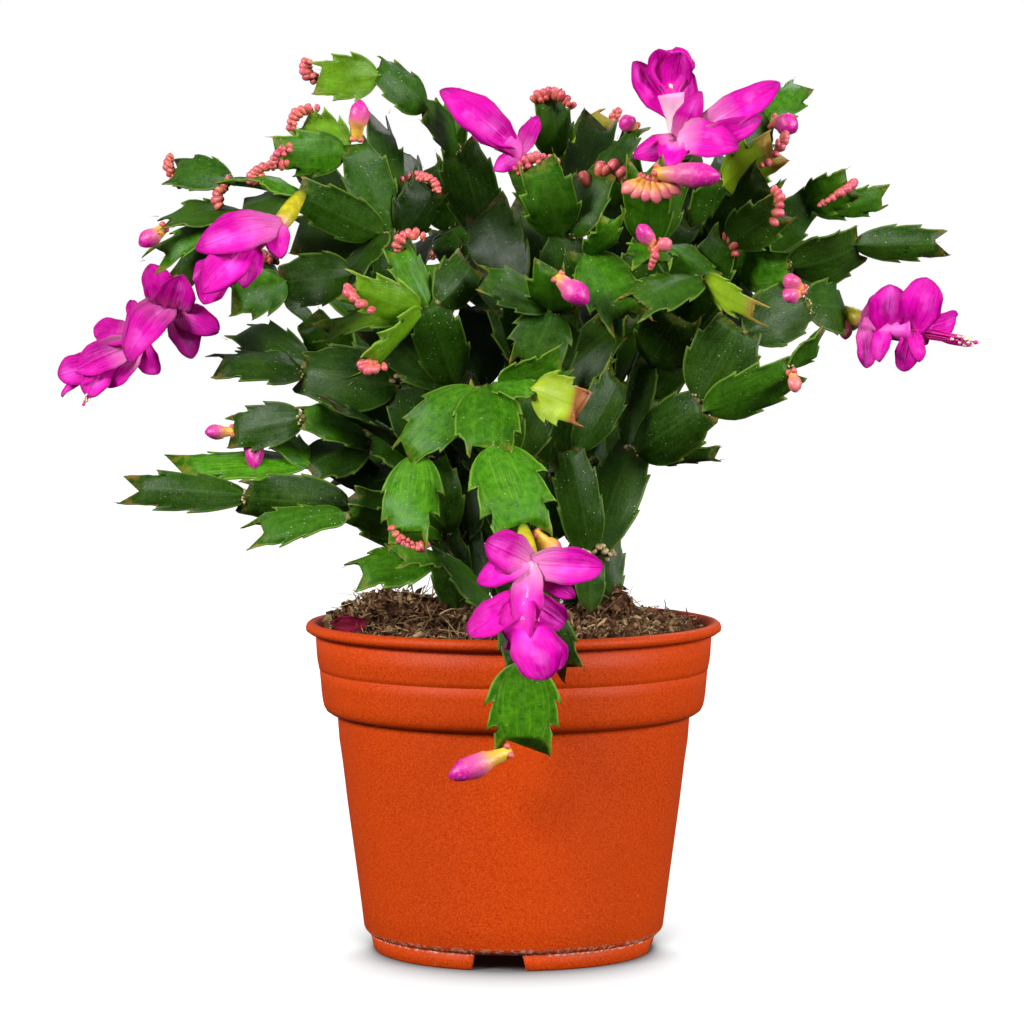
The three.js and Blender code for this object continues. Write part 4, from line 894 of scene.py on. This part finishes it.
class Surface(Nodes):
    """A material, with the colour that has been laid on so far as its body."""

    def __init__(self, name, **values):
        self.material = bpy.data.materials.new(name)
        super().__init__(self.material, "Principled BSDF", values)
        self.place = self.node("ShaderNodeTexCoord").outputs["Object"]

    def tint(self):
        split = self.node("ShaderNodeAttribute", attribute_name="tint")
        parts = self.node("ShaderNodeSeparateColor", {"Color": split.outputs["Color"]})
        return [*parts.outputs, split.outputs["Alpha"]]

    def noise(self, scale, detail=4.0, rough=0.55, distort=0.0, place=None):
        settings = {"Vector": place or self.place, "Scale": scale, "Detail": detail}
        settings.update({"Roughness": rough, "Distortion": distort})
        return self.node("ShaderNodeTexNoise", settings).outputs["Fac"]

    def streaks(self, along, side, shade, stretch, *noise):
        """Noise drawn out along a petal or a segment, another pattern for each shade."""
        place = self.node("ShaderNodeCombineXYZ", {0: along, 1: side, 2: shade}).outputs[0]
        return self.noise(*noise, self.vector("MULTIPLY", place, (stretch, 7, 30))[0])

    def cells(self, scale):
        settings = {"Vector": self.place, "Scale": scale}
        return self.node("ShaderNodeTexVoronoi", settings).outputs["Distance"]

    def mix(self, share, a, b):
        ends = [v if isinstance(v, bpy.types.NodeSocket) else colour(*v) for v in (a, b)]
        inputs = {0: share, 6: ends[0], 7: ends[1]}
        return self.node("ShaderNodeMix", inputs, data_type="RGBA").outputs[2]

    def coat(self, tint, share, *more):
        """Lay a colour over the body, by the product of the shares."""
        for factor in more:
            share = self.times(share, factor)
        self.body = self.mix(share, self.body, tint)

    def done(self, height, distance, strength=1.0):
        """The material, with its body's colour and bumps of this height."""
        self.feed("Base Color", self.body)
        settings = {"Height": height, "Distance": distance * MM, "Strength": strength}
        self.feed("Normal", self.node("ShaderNodeBump", settings).outputs["Normal"])
        return self.material


def skin_surface(name, painted_shade):
    """Waxy segments: youth, shade, share of length (10 more if woody) and share of half width."""
    s = Surface(name, Roughness=0.4, Specular_IOR_Level=0.18)
    youth, shade, along, side = s.tint()
    mottle, broad, grain = s.noise(420, 5, 0.65), s.noise(60, 3), s.noise(2200, 3, 0.7)
    patches = s.band(mottle, 0.3, 0.7)
    deep = s.mix(patches, (14, 42, 0), (38, 74, 4))
    deep = s.mix(s.times(shade, 0.7), deep, s.mix(broad, (22, 52, 8), (50, 84, 10)))
    fresh = s.mix(patches, (38, 100, 0), (80, 148, 6))
    fresh = s.mix(s.band(youth, 0.75, 1), fresh, (168, 192, 36))
    s.body = s.mix(s.band(youth, 0, 0.75), deep, fresh)
    s.coat((76, 110, 30), s.band(broad, 0.5, 0.75), 0.3)
    s.coat(s.mix(0.5, s.body, (132, 158, 92)), s.band(grain, 0.52, 0.7), 0.4)
    s.coat((20, 48, 0), s.band(side, 0.55, 0.88), 0.3)
    # painted highlight: pale gloss streaks drawn out along each segment
    painted_gloss_streak = s.mix(s.band(youth, 0.2, 0.8), (70, 108, 32), (146, 190, 66))
    s.coat(painted_gloss_streak, s.band(s.streaks(along, side, shade, 1.5, 1.7, 4, 0.6, 0.4), 0.52, 0.74), 0.4)
    s.coat((150, 188, 66), s.band(side, 0.93, 0.99), s.band(youth, 0, 0.8, 0.25, 0.45))
    dry_tip = s.times(s.band(along, 0.93, 1.06), s.band(mottle, 0.45, 0.65))
    s.coat((164, 116, 56), dry_tip, s.band(along, 5.1, 5), 0.55)
    ripe = s.mix(mottle, (120, 30, 26), (222, 120, 96))
    s.coat(ripe, s.band(youth, 0.8, 1), s.band(along, 0.84, 0.96), 0.8)
    s.coat((146, 128, 78), s.band(along, 0.04, 0), 0.6)
    s.coat((78, 112, 50), s.band(side, 0.07, 0), 0.25)
    woody = s.times(s.band(along, 10.35, 10), s.band(along, 9, 9.5))
    s.coat((74, 82, 40), woody, s.band(broad, 0.4, 0.65, 0.1, 0.5))
    dust = s.band(s.cells(700), 0.13, 0.07)
    s.coat((206, 220, 190), dust, s.band(s.noise(110, 2), 0.5, 0.6), 0.85)
    s.coat(s.mix(shade, (140, 62, 50), (186, 164, 116)), s.band(youth, 1.5, 1.9))
    cork = s.band(youth, 2.5, 2.9)
    s.coat(s.mix(s.band(mottle, 0.35, 0.65), (128, 98, 60), (214, 198, 150)), cork)
    # painted shade: darkens the whole skin, for the segments deep in the plant
    s.coat((8, 22, 2), painted_shade)
    s.feed("Roughness", s.band(mottle, 0.3, 0.7, 0.26, 0.46))
    pores = s.math("ADD", s.times(grain, 0.5), s.times(mottle, 0.8))
    return s.done(s.math("ADD", pores, s.times(cork, s.noise(900, 4))), 0.35, 0.55)


def petal_surface():
    """Silky petals: share of length, shade, share of half width and paleness at the base."""
    glow = {"Subsurface_Radius": (1, 0.25, 0.7), "Subsurface_Scale": 1.5 * MM}
    silky = {"Roughness": 0.42, "Specular_IOR_Level": 0.16, "Subsurface_Weight": 0.08}
    s = Surface("petal_silk", **silky, **glow)
    along, shade, side, pale = s.tint()
    streaks = s.streaks(along, side, shade, 2, 1.6, 5, 0.7, 0.3)
    s.body = s.mix(s.band(streaks, 0.36, 0.64), (206, 0, 150), (250, 14, 204))
    s.coat((196, 0, 146), shade, 0.5)
    # painted highlight: pale patches towards the middle of each petal
    s.coat((255, 100, 228), s.band(s.noise(150, 2), 0.46, 0.68), s.band(side, 0.75, 0.1), 0.7)
    s.coat((158, 0, 112), s.band(side, 0.7, 1), 0.75)
    s.coat((150, 0, 106), s.band(along, 0.88, 1), 0.5)
    s.coat((254, 218, 230), s.band(along, 0.6, 0), s.times(pale, 1.5))
    s.feed("Roughness", s.band(streaks, 0.3, 0.7, 0.3, 0.5))
    return s.done(s.math("ADD", s.times(s.band(side, 0.1, 0), 0.5), streaks), 0.6, 0.7)


def stamen_surface():
    s = Surface("stamen", Roughness=0.5, Subsurface_Weight=0.2, Subsurface_Scale=1 * MM)
    part, grain = s.tint()[0], s.noise(2500, 3)
    s.body = s.mix(s.band(part, 0.25, 0.45), (250, 226, 238), (222, 20, 150))
    s.coat(s.mix(grain, (236, 206, 150), (252, 240, 214)), s.band(part, 0.6, 0.8))
    return s.done(grain, 0.1)


def bud_surface():
    """Buds: share of length, 1 more in a large one; shade; how orange a small one is."""
    glow = {"Subsurface_Radius": (1, 0.3, 0.3), "Subsurface_Scale": 1.2 * MM}
    s = Surface("bud_skin", Roughness=0.3, Specular_IOR_Level=0.6, Subsurface_Weight=0.08, **glow)
    along, shade, warm, _ = s.tint()
    grain = s.noise(1100, 4, 0.65)
    # a dark foot: partly the colour of dry scales, partly painted shade where the bud sits on the
    # segment
    s.body = s.mix(s.band(along, 0.05, 0.35), (112, 40, 16), (214, 98, 76))
    s.coat((214, 76, 116), s.band(along, 0.4, 0.85))
    s.coat((224, 126, 80), warm, 0.5)
    s.coat((170, 34, 74), shade, 0.45)
    large = s.mix(s.band(along, 1, 1.3), (222, 196, 40), (236, 168, 70))
    large = s.mix(s.band(along, 1.3, 1.5), large, (226, 96, 150))
    large = s.mix(s.band(along, 1.5, 1.8), large, (208, 14, 150))
    large = s.mix(s.times(warm, 0.55), large, s.mix(shade, (232, 120, 110), (238, 160, 70)))
    s.coat(large, s.band(along, 0.99, 1.01))
    # painted highlight: pale patches on each bud, fainter on the large ones
    s.coat((252, 178, 170), s.band(grain, 0.5, 0.7), s.band(along, 0.99, 1.01, 0.5, 0.2))
    s.coat((112, 34, 36), s.band(s.cells(420), 0.16, 0.04), 0.5)
    s.feed("Roughness", s.band(grain, 0.3, 0.7, 0.28, 0.5))
    return s.done(grain, 0.3, 0.6)


def ovary_surface():
    s = Surface("ovary_skin", Roughness=0.35, Specular_IOR_Level=0.5)
    along, grain = s.tint()[0], s.noise(420, 4)
    s.body = s.mix(s.band(grain, 0.35, 0.7), (168, 160, 22), (214, 200, 40))
    s.coat((120, 136, 34), s.band(along, 0.25, 0))
    s.coat((238, 160, 130), s.band(along, 0.8, 1))
    return s.done(grain, 0.2, 0.4)


def pot_surface():
    """Moulded plastic with a fine mottled grain, scuffs, and grit along the seam at its foot."""
    s = Surface("pot_plastic", Roughness=0.5, Specular_IOR_Level=0.16)
    grain, fine, cloud = s.noise(1700, 6, 0.75), s.noise(3200, 2), s.noise(24, 3)
    s.body = s.mix(s.band(grain, 0.36, 0.64), (168, 36, 0), (222, 80, 8))
    s.coat((230, 112, 52), s.band(fine, 0.5, 0.75), 0.3)
    s.coat((212, 72, 10), s.band(cloud, 0.35, 0.7), 0.3)
    height = s.node("ShaderNodeSeparateXYZ", {0: s.place}).outputs[2]
    seam = s.times(s.band(height, 0.0044, 0.0052), s.band(height, 0.0074, 0.0062))
    s.coat((236, 214, 190), seam, s.band(s.noise(700, 6, 0.8), 0.5, 0.58), 0.8)
    flecks = s.band(s.noise(480, 6, 0.75), 0.64, 0.7)
    low = s.band(height, 0.03, 0.004, 0.1, 0.8)
    s.coat((232, 198, 176), flecks, s.band(cloud, 0.45, 0.6), low)
    s.coat((160, 44, 8), s.band(s.noise(60, 6, 0.7, 2), 0.64, 0.72), 0.35)
    s.feed("Roughness", s.band(grain, 0.3, 0.7, 0.38, 0.58))
    return s.done(s.math("ADD", grain, s.times(cloud, 1.5)), 0.15, 0.6)


def peat_surface():
    """Peat and bark: shade, how pale a fibre is and how red."""
    s = Surface("peat", Roughness=0.85, Specular_IOR_Level=0.25)
    shade, pale, red, _ = s.tint()
    grain = s.noise(1100, 6, 0.75)
    s.body = s.mix(s.band(grain, 0.35, 0.65), (24, 10, 3), (96, 58, 32))
    s.coat(s.mix(grain, (92, 54, 30), (196, 142, 96)), shade, 0.75)
    s.coat(s.mix(grain, (190, 146, 92), (244, 216, 168)), pale)
    s.coat(s.mix(grain, (104, 8, 40), (156, 22, 62)), red)
    return s.done(grain, 0.8, 0.9)


# ---------- the pot
POT_OUTLINE = [
    (0, 5), (40, 5), (44.4, 5), (45.6, 5.5), (46.6, 6.5), (47, 7.4), (47.9, 14.6), (50, 30.5),
    (52.1, 46.3), (53.6, 59), (54.6, 66), (55.1, 72.6), (55.2, 74.1), (57.4, 74.6), (58.7, 75.5),
    (59.4, 76.8), (59.8, 78.6), (60.1, 81), (60.4, 84.5), (60.7, 87.5), (60.4, 87.8),
    (60.4, 88.1), (60.9, 88.4), (61.1, 89.6), (61.4, 91), (61.6, 93), (61.9, 97.8), (61.2, 98.3),
    (61.2, 99.4), (63.6, 99.5), (64.9, 100.4), (65, 101.3), (64.7, 102.2), (64, 102.8), (63, 103),
    (62, 102.7), (61.3, 102), (60.6, 100), (58.5, 80), (57.6, 77.8), (53.8, 75.4), (45.3, 6.6),
    (0, 6.6),
]
POT_SIDES = 144
POT_TINT = (0.5, 0.5, 0, 0)
CENTRE = 0.01  # radius of a ring that closes a turned body
FOOT_OUTLINE = [(41, 6), (41, 0.4), (41.4, 0), (43.6, 0), (44, 0.5), (45.2, 6)]
FOOT_STEPS = 28  # along each of the arcs between two notches
NOTCH_HALVES = 7.4, 8.5  # of a notch in the foot ring, at the top and at the bottom
NOTCH_TURN = -96


def pot_shape():
    """The lipped, stepped body, turned, and four arcs of foot ring with notches between."""
    shape = Shape()
    rings = [circle(POT_SIDES) * max(r, CENTRE) + [0, 0, z] for r, z in POT_OUTLINE]
    shape.loft(rings, POT_TINT)
    above, below = NOTCH_HALVES
    for quarter in range(4):
        start = math.radians(NOTCH_TURN + 90 * quarter)
        rows = []
        for step in range(FOOT_STEPS + 1):
            row = []
            for r, z in FOOT_OUTLINE:
                half = (below + (above - below) * z / 5) / r
                way = start + half + (math.pi / 2 - 2 * half) * step / FOOT_STEPS
                row.append([r * math.cos(way), r * math.sin(way), z])
            rows.append(row)
        shape.loft(rows, POT_TINT)
    return shape


# ---------- the peat
PEAT_SIDES = 150
PEAT_BELOW = [(CENTRE, 6.9), (45, 6.9), (53, 74.6), (57.6, 80)]  # radius and height inside the pot
PEAT_RADII = [59.4, *range(58, 22, -3), 22, 18, 14, 10, 6, 3, CENTRE]  # of the heap's rings
PEAT_EDGE = 59.6
FLAKES, FIBRES = 5200, 1500


def soil_height(x, y):
    radius = math.hypot(x, y)
    crown = 101 + 3 * (1 - (radius / 60) ** 2)
    heap = 9 * math.exp(-((x + 38) ** 2 + (y + 3) ** 2) / 320)
    lump = 10 * math.exp(-((x - 33) ** 2 + (y + 6) ** 2) / 40)
    crumbs = math.sin(x * 0.55 + y * 0.31) * math.cos(y * 0.47 - x * 0.2)
    return crown + heap + lump + 1.1 * crumbs


def on_soil(rng, reach):
    r, a = reach * math.sqrt(rng.random()), rng.uniform(0, 6.28)
    x, y = r * math.cos(a), r * math.sin(a)
    return np.array([x, y, soil_height(x, y)])


def peat_tint(rng):
    draw = rng.random()
    if draw < 0.1:
        return (rng.random(), rng.uniform(0.4, 1), 0, 0)
    return (rng.random() ** 1.3, 0.35 * (draw < 0.25), 0, 0)


def add_flake(shape, middle, size, rng, tint):
    """A torn bit of bark or peat: a box with every corner out of place."""
    ways = [np.array([rng.gauss(0, 1) for _ in range(3)]) for _ in range(3)]
    ways = np.array([unit(way) * size * share for way, share in zip(ways, (1, 0.6, 0.35))])
    corners = [(a, b, c) for c in (-1, 1) for a, b in ((-1, -1), (1, -1), (1, 1), (-1, 1))]
    points = [np.array(at) * [rng.uniform(0.3, 0.65) for _ in range(3)] for at in corners]
    shape.loft((middle + np.array(points) @ ways).reshape(2, 4, 3), tint)


def soil_shape(rng):
    """The heap of peat down to the pot's floor, then bark, crumbs, sticks and pale fibres."""
    shape = Shape()
    disc = circle(PEAT_SIDES)
    rings = [disc * r + [0, 0, z] for r, z in PEAT_BELOW]
    for radius in PEAT_RADII:
        ring = disc * radius
        for point in ring:
            x, y = point[:2]
            rough = 0.9 * math.sin(1.9 * x + 0.7 * y) * math.sin(1.3 * y - 1.1 * x)
            point[2] = soil_height(x, y) - 0.8 + rough + rng.uniform(-1.1, 0.9)
        rings.append(ring)
    shape.loft(rings, [[(rng.random() * 0.4, 0, 0, 0) for _ in disc] for _ in rings])
    for _ in range(FLAKES):
        middle = on_soil(rng, 59)
        size = rng.uniform(0.8, 2.2) if rng.random() < 0.85 else rng.uniform(2.2, 4.2)
        if math.hypot(*middle[:2]) + 0.5 * size <= PEAT_EDGE:
            middle[2] += size * rng.uniform(-0.25, 0.4)
            add_flake(shape, middle, size, rng, peat_tint(rng))
    for _ in range(FIBRES):
        start = on_soil(rng, 57)
        size = rng.uniform(2, 6) if rng.random() < 0.8 else rng.uniform(6, 13)
        way = unit(np.array([rng.gauss(0, 1), rng.gauss(0, 1), rng.gauss(0.1, 0.4)]))
        start[2] += rng.uniform(-0.3, 1.2)
        end = start + way * size
        if math.hypot(*end[:2]) <= PEAT_EDGE - 0.8:
            bend = (start + end) / 2 + [rng.gauss(0, 1), rng.gauss(0, 1), rng.gauss(0.5, 0.6)]
            tint = (rng.random(), rng.random() ** 1.5, 0, 0)
            thread(shape, start, bend, end, rng.uniform(0.1, 0.28), [tint] * 5)
    fallen = Shape()
    start, tip = np.array([[-54, -25, 104], [-45, -31, 105.5]])
    add_petal(fallen, Blade(start, tip, 7, turn=30, bow=0.8), rng)
    shape.add(fallen.points, fallen.faces, (0.3, 0, 1, 0))
    return shape


# ---------- making the pieces
YOUNG = 0.3
SCARRED = 0.6  # share of the joints of older segments
WOODY_JOINTS = {("right", 1), ("right", 2), ("left", 3), ("left", 4)}
BACK_SPREAD, BACK_BEAD = 4.2, 4.6  # half the row of buds across each back stem's top, and a bud
# Buds too small for solids: [stem, row, x and z of the foot, x and z of the tip, width, warm].
SMALL_BUDS = [
    ["right", 5, 90, 206, 83.5, 203.5, 5.2, 0.2],
    ["right", 5, 90, 206, 84.5, 210.5, 5, 0.4],
    ["right", 9, 87, 181, 88, 174.5, 4, 1],
    ["centre_right", 8, 44, 219, 39, 226.5, 5, 0.1],
    ["centre_right", 8, 44, 219, 49, 221.5, 4.2, 1],
    ["centre", 11, 38, 256, 33.5, 259.5, 5.4, 0],
    ["right", 6, 103, 199, 103.5, 191, 4.4, 1],
]

# the second skin is darkened with painted shade, for the segments deep in the plant
skin, shady_skin = skin_surface("cactus_skin", 0.0), skin_surface("cactus_skin_shade", 0.65)
silk, bud_skin = petal_surface(), bud_surface()
stamen_skin, ovary_skin = stamen_surface(), ovary_surface()

for plant in dict.fromkeys(plant_of.values()):
    rng = random.Random("stem " + plant)
    shape = Shape()
    for name, blades in blades_of.items():
        if plant_of[name] != plant:
            continue
        for i, blade in enumerate(blades):
            add_segment(shape, blade, rng)
            if blade.parent is not None and blade.youth < YOUNG and rng.random() < SCARRED:
                add_scar(shape, blade, rng)
            if (name, i) in WOODY_JOINTS:
                add_scar(shape, blade, rng, 2.3)
    if plant == "deep":
        shape.build("segments_deep", shady_skin, "segment")
    else:
        shape.build(f"segments_{plant}", skin, "segment", f"stem_{plant}")

for name, carrier, axis, petals in blooms:
    rng = random.Random("bloom " + name)
    add_bloom(name, axis, petals, rng).build(f"petals_{name}", silk, "petal", f"bloom_{name}")
    add_stamens(name, axis, rng).build(f"stamens_{name}", stamen_skin, "petal")
    fruit = add_ovary(carrier.tip, axis[0])
    fruit.build(f"fruit_{name}", ovary_skin, "ovary", f"ovary_{name}")

back_stems = [name for name in blades_of if name.startswith("back_")]
for name, (stem, row), wide, *ends in BUDS + [[name, (name, 6), BACK_BEAD] for name in back_stems]:
    rng = random.Random("bud " + name)
    blade = blades_of[stem][row]
    shape = Shape()
    if stem in back_stems:
        half = blade.across * BACK_SPREAD
        bead_row(shape, blade.tip - half, blade.tip + half, blade, wide, rng)
    elif not ends:
        hanging_row(shape, blade, rng)
    elif isinstance(ends[1], list):
        start, end = [seen(x, z, blade.depth + behind) for x, z, behind in ends]
        across = end - start
        t = min(max((blade.tip - start).dot(across) / across.dot(across), 0), 1)
        drawn = blade.tip - (start + t * across)  # the row is drawn onto the tip
        bead_row(shape, start + drawn, end + drawn, blade, wide, rng)
    else:
        (x, z, behind), neck = ends
        tip = seen(x, z, blade.depth + behind)
        add_bud(shape, corner_of(blade, tip), tip, wide, rng, neck)
    shape.build(f"cluster_{name}", bud_skin, "bud", f"buds_{name}", centred=True)

shape = Shape()
rng = random.Random("small buds")
for stem, row, foot_x, foot_z, tip_x, tip_z, wide, warm in SMALL_BUDS:
    depth = blades_of[stem][row].depth
    foot, tip = seen(foot_x, foot_z, depth - 1), seen(tip_x, tip_z, depth - 4)
    add_bud(shape, foot, tip, wide, rng, 0.25, warm)
blade = blades_of["deep_1"][1]
foot, tip = seen(-33, 243, blade.depth - 1), seen(-22, 240, blade.depth - 1)
bead_row(shape, foot, tip, blade, 3.6, rng)
shape.build("small_buds", bud_skin, "bud")

pot_shape().build("pot_shell", pot_surface(), "pot", "pot")
soil_shape(random.Random(11)).build("peat_fill", peat_surface(), "soil", "soil")


# ---------- camera, floor and light
SKY = [0.05, 0.26]  # how bright the white surround is as a light, from below and from above
WHITE = (255, 255, 255)
FLOOR = 6  # half its width in metres
PAINTED_SHADOW_RADIUS, PAINTED_SHADOW_FADE = 0.0435, -0.0034  # of the painted shadow round and under the foot, in metres
PAINTED_SHADOW_FLATNESS = 5.6  # how many times wider than deep it is


def aim(name, data, place, target):
    """A camera or light, put in the scene at its place and turned to a target."""
    thing = bpy.data.objects.new(name, data)
    scene.collection.objects.link(thing)
    thing.location = place
    way = Vector(target) - Vector(place)
    thing.rotation_euler = way.to_track_quat("-Z", "Y").to_euler()
    return thing


def add_light(name, place, target, power):
    light = bpy.data.lights.new(name, "AREA")
    light.shape, light.size, light.energy = "DISK", 0.8, power
    aim(name, light, place, target)


scene.view_settings.view_transform = "Standard"
lens = bpy.data.cameras.new("camera")
lens.sensor_width, lens.lens = 36, 137.5
lens.clip_start, lens.clip_end = 0.05, 50
eye = (-0.0005, -EYE_DISTANCE * MM, EYE_HEIGHT * MM)
scene.camera = aim("camera", lens, eye, (-0.0005, 0, 0.137))

mesh = bpy.data.meshes.new("floor")
corners = [(-FLOOR, -FLOOR, 0), (FLOOR, -FLOOR, 0), (FLOOR, FLOOR, 0), (-FLOOR, FLOOR, 0)]
mesh.from_pydata(corners, [], [(0, 1, 2, 3)])
floor = bpy.data.objects.new("floor", mesh)
scene.collection.objects.link(floor)
floor.visible_diffuse = floor.visible_glossy = False  # the sky alone lights the pot from below
paper = Surface("floor_paper", Roughness=0.9, Specular_IOR_Level=0.0, Emission_Strength=1.0)
paper.feed("Base Color", paper.mix(paper.noise(8, 2), (118, 118, 118), (122, 122, 122)))
# painted shadow: the floor's glow fades out round the foot and is dark under the pot
spot = paper.vector("LENGTH", paper.place)["Value"]
deeper = paper.vector("MULTIPLY", paper.place, (1, PAINTED_SHADOW_FLATNESS, 1))[0]
deeper = paper.vector("LENGTH", deeper)["Value"]
beyond = paper.math("SUBTRACT", spot, PAINTED_SHADOW_RADIUS)
beyond = paper.times(beyond, paper.math("DIVIDE", spot, deeper))
fade = paper.math("POWER", math.e, paper.math("DIVIDE", beyond, PAINTED_SHADOW_FADE))
glow_outside_painted_shadow = paper.math("MAXIMUM", paper.math("SUBTRACT", 1.0, fade), 0.0)
paper.feed("Emission Color", paper.mix(glow_outside_painted_shadow, (0, 0, 0), WHITE))
mesh.materials.append(paper.material)
floor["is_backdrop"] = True

scene.world = bpy.data.worlds.new("studio")  # white to the camera, a soft sky to all else
sky = Nodes(scene.world, "Background", {"Color": (1, 1, 1, 1)})
way = sky.node("ShaderNodeTexCoord").outputs["Generated"]
height = sky.node("ShaderNodeSeparateXYZ", {0: way}).outputs[2]
to_camera = sky.node("ShaderNodeLightPath").outputs["Is Camera Ray"]
sky.feed("Strength", sky.band(to_camera, 0, 1, sky.band(height, -0.2, 0.3, *SKY)))

add_light("key", (-1.4, -1.25, 1.1), (0, 0, 0.16), 52)
add_light("fill", (1.5, -1.05, 0.8), (0, 0, 0.14), 38)
add_light("back", (0.4, 1.1, 1.3), (0, 0, 0.18), 6)

low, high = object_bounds()
rows = {"cad": (cad_low, cad_high), "visual": (low, high)}
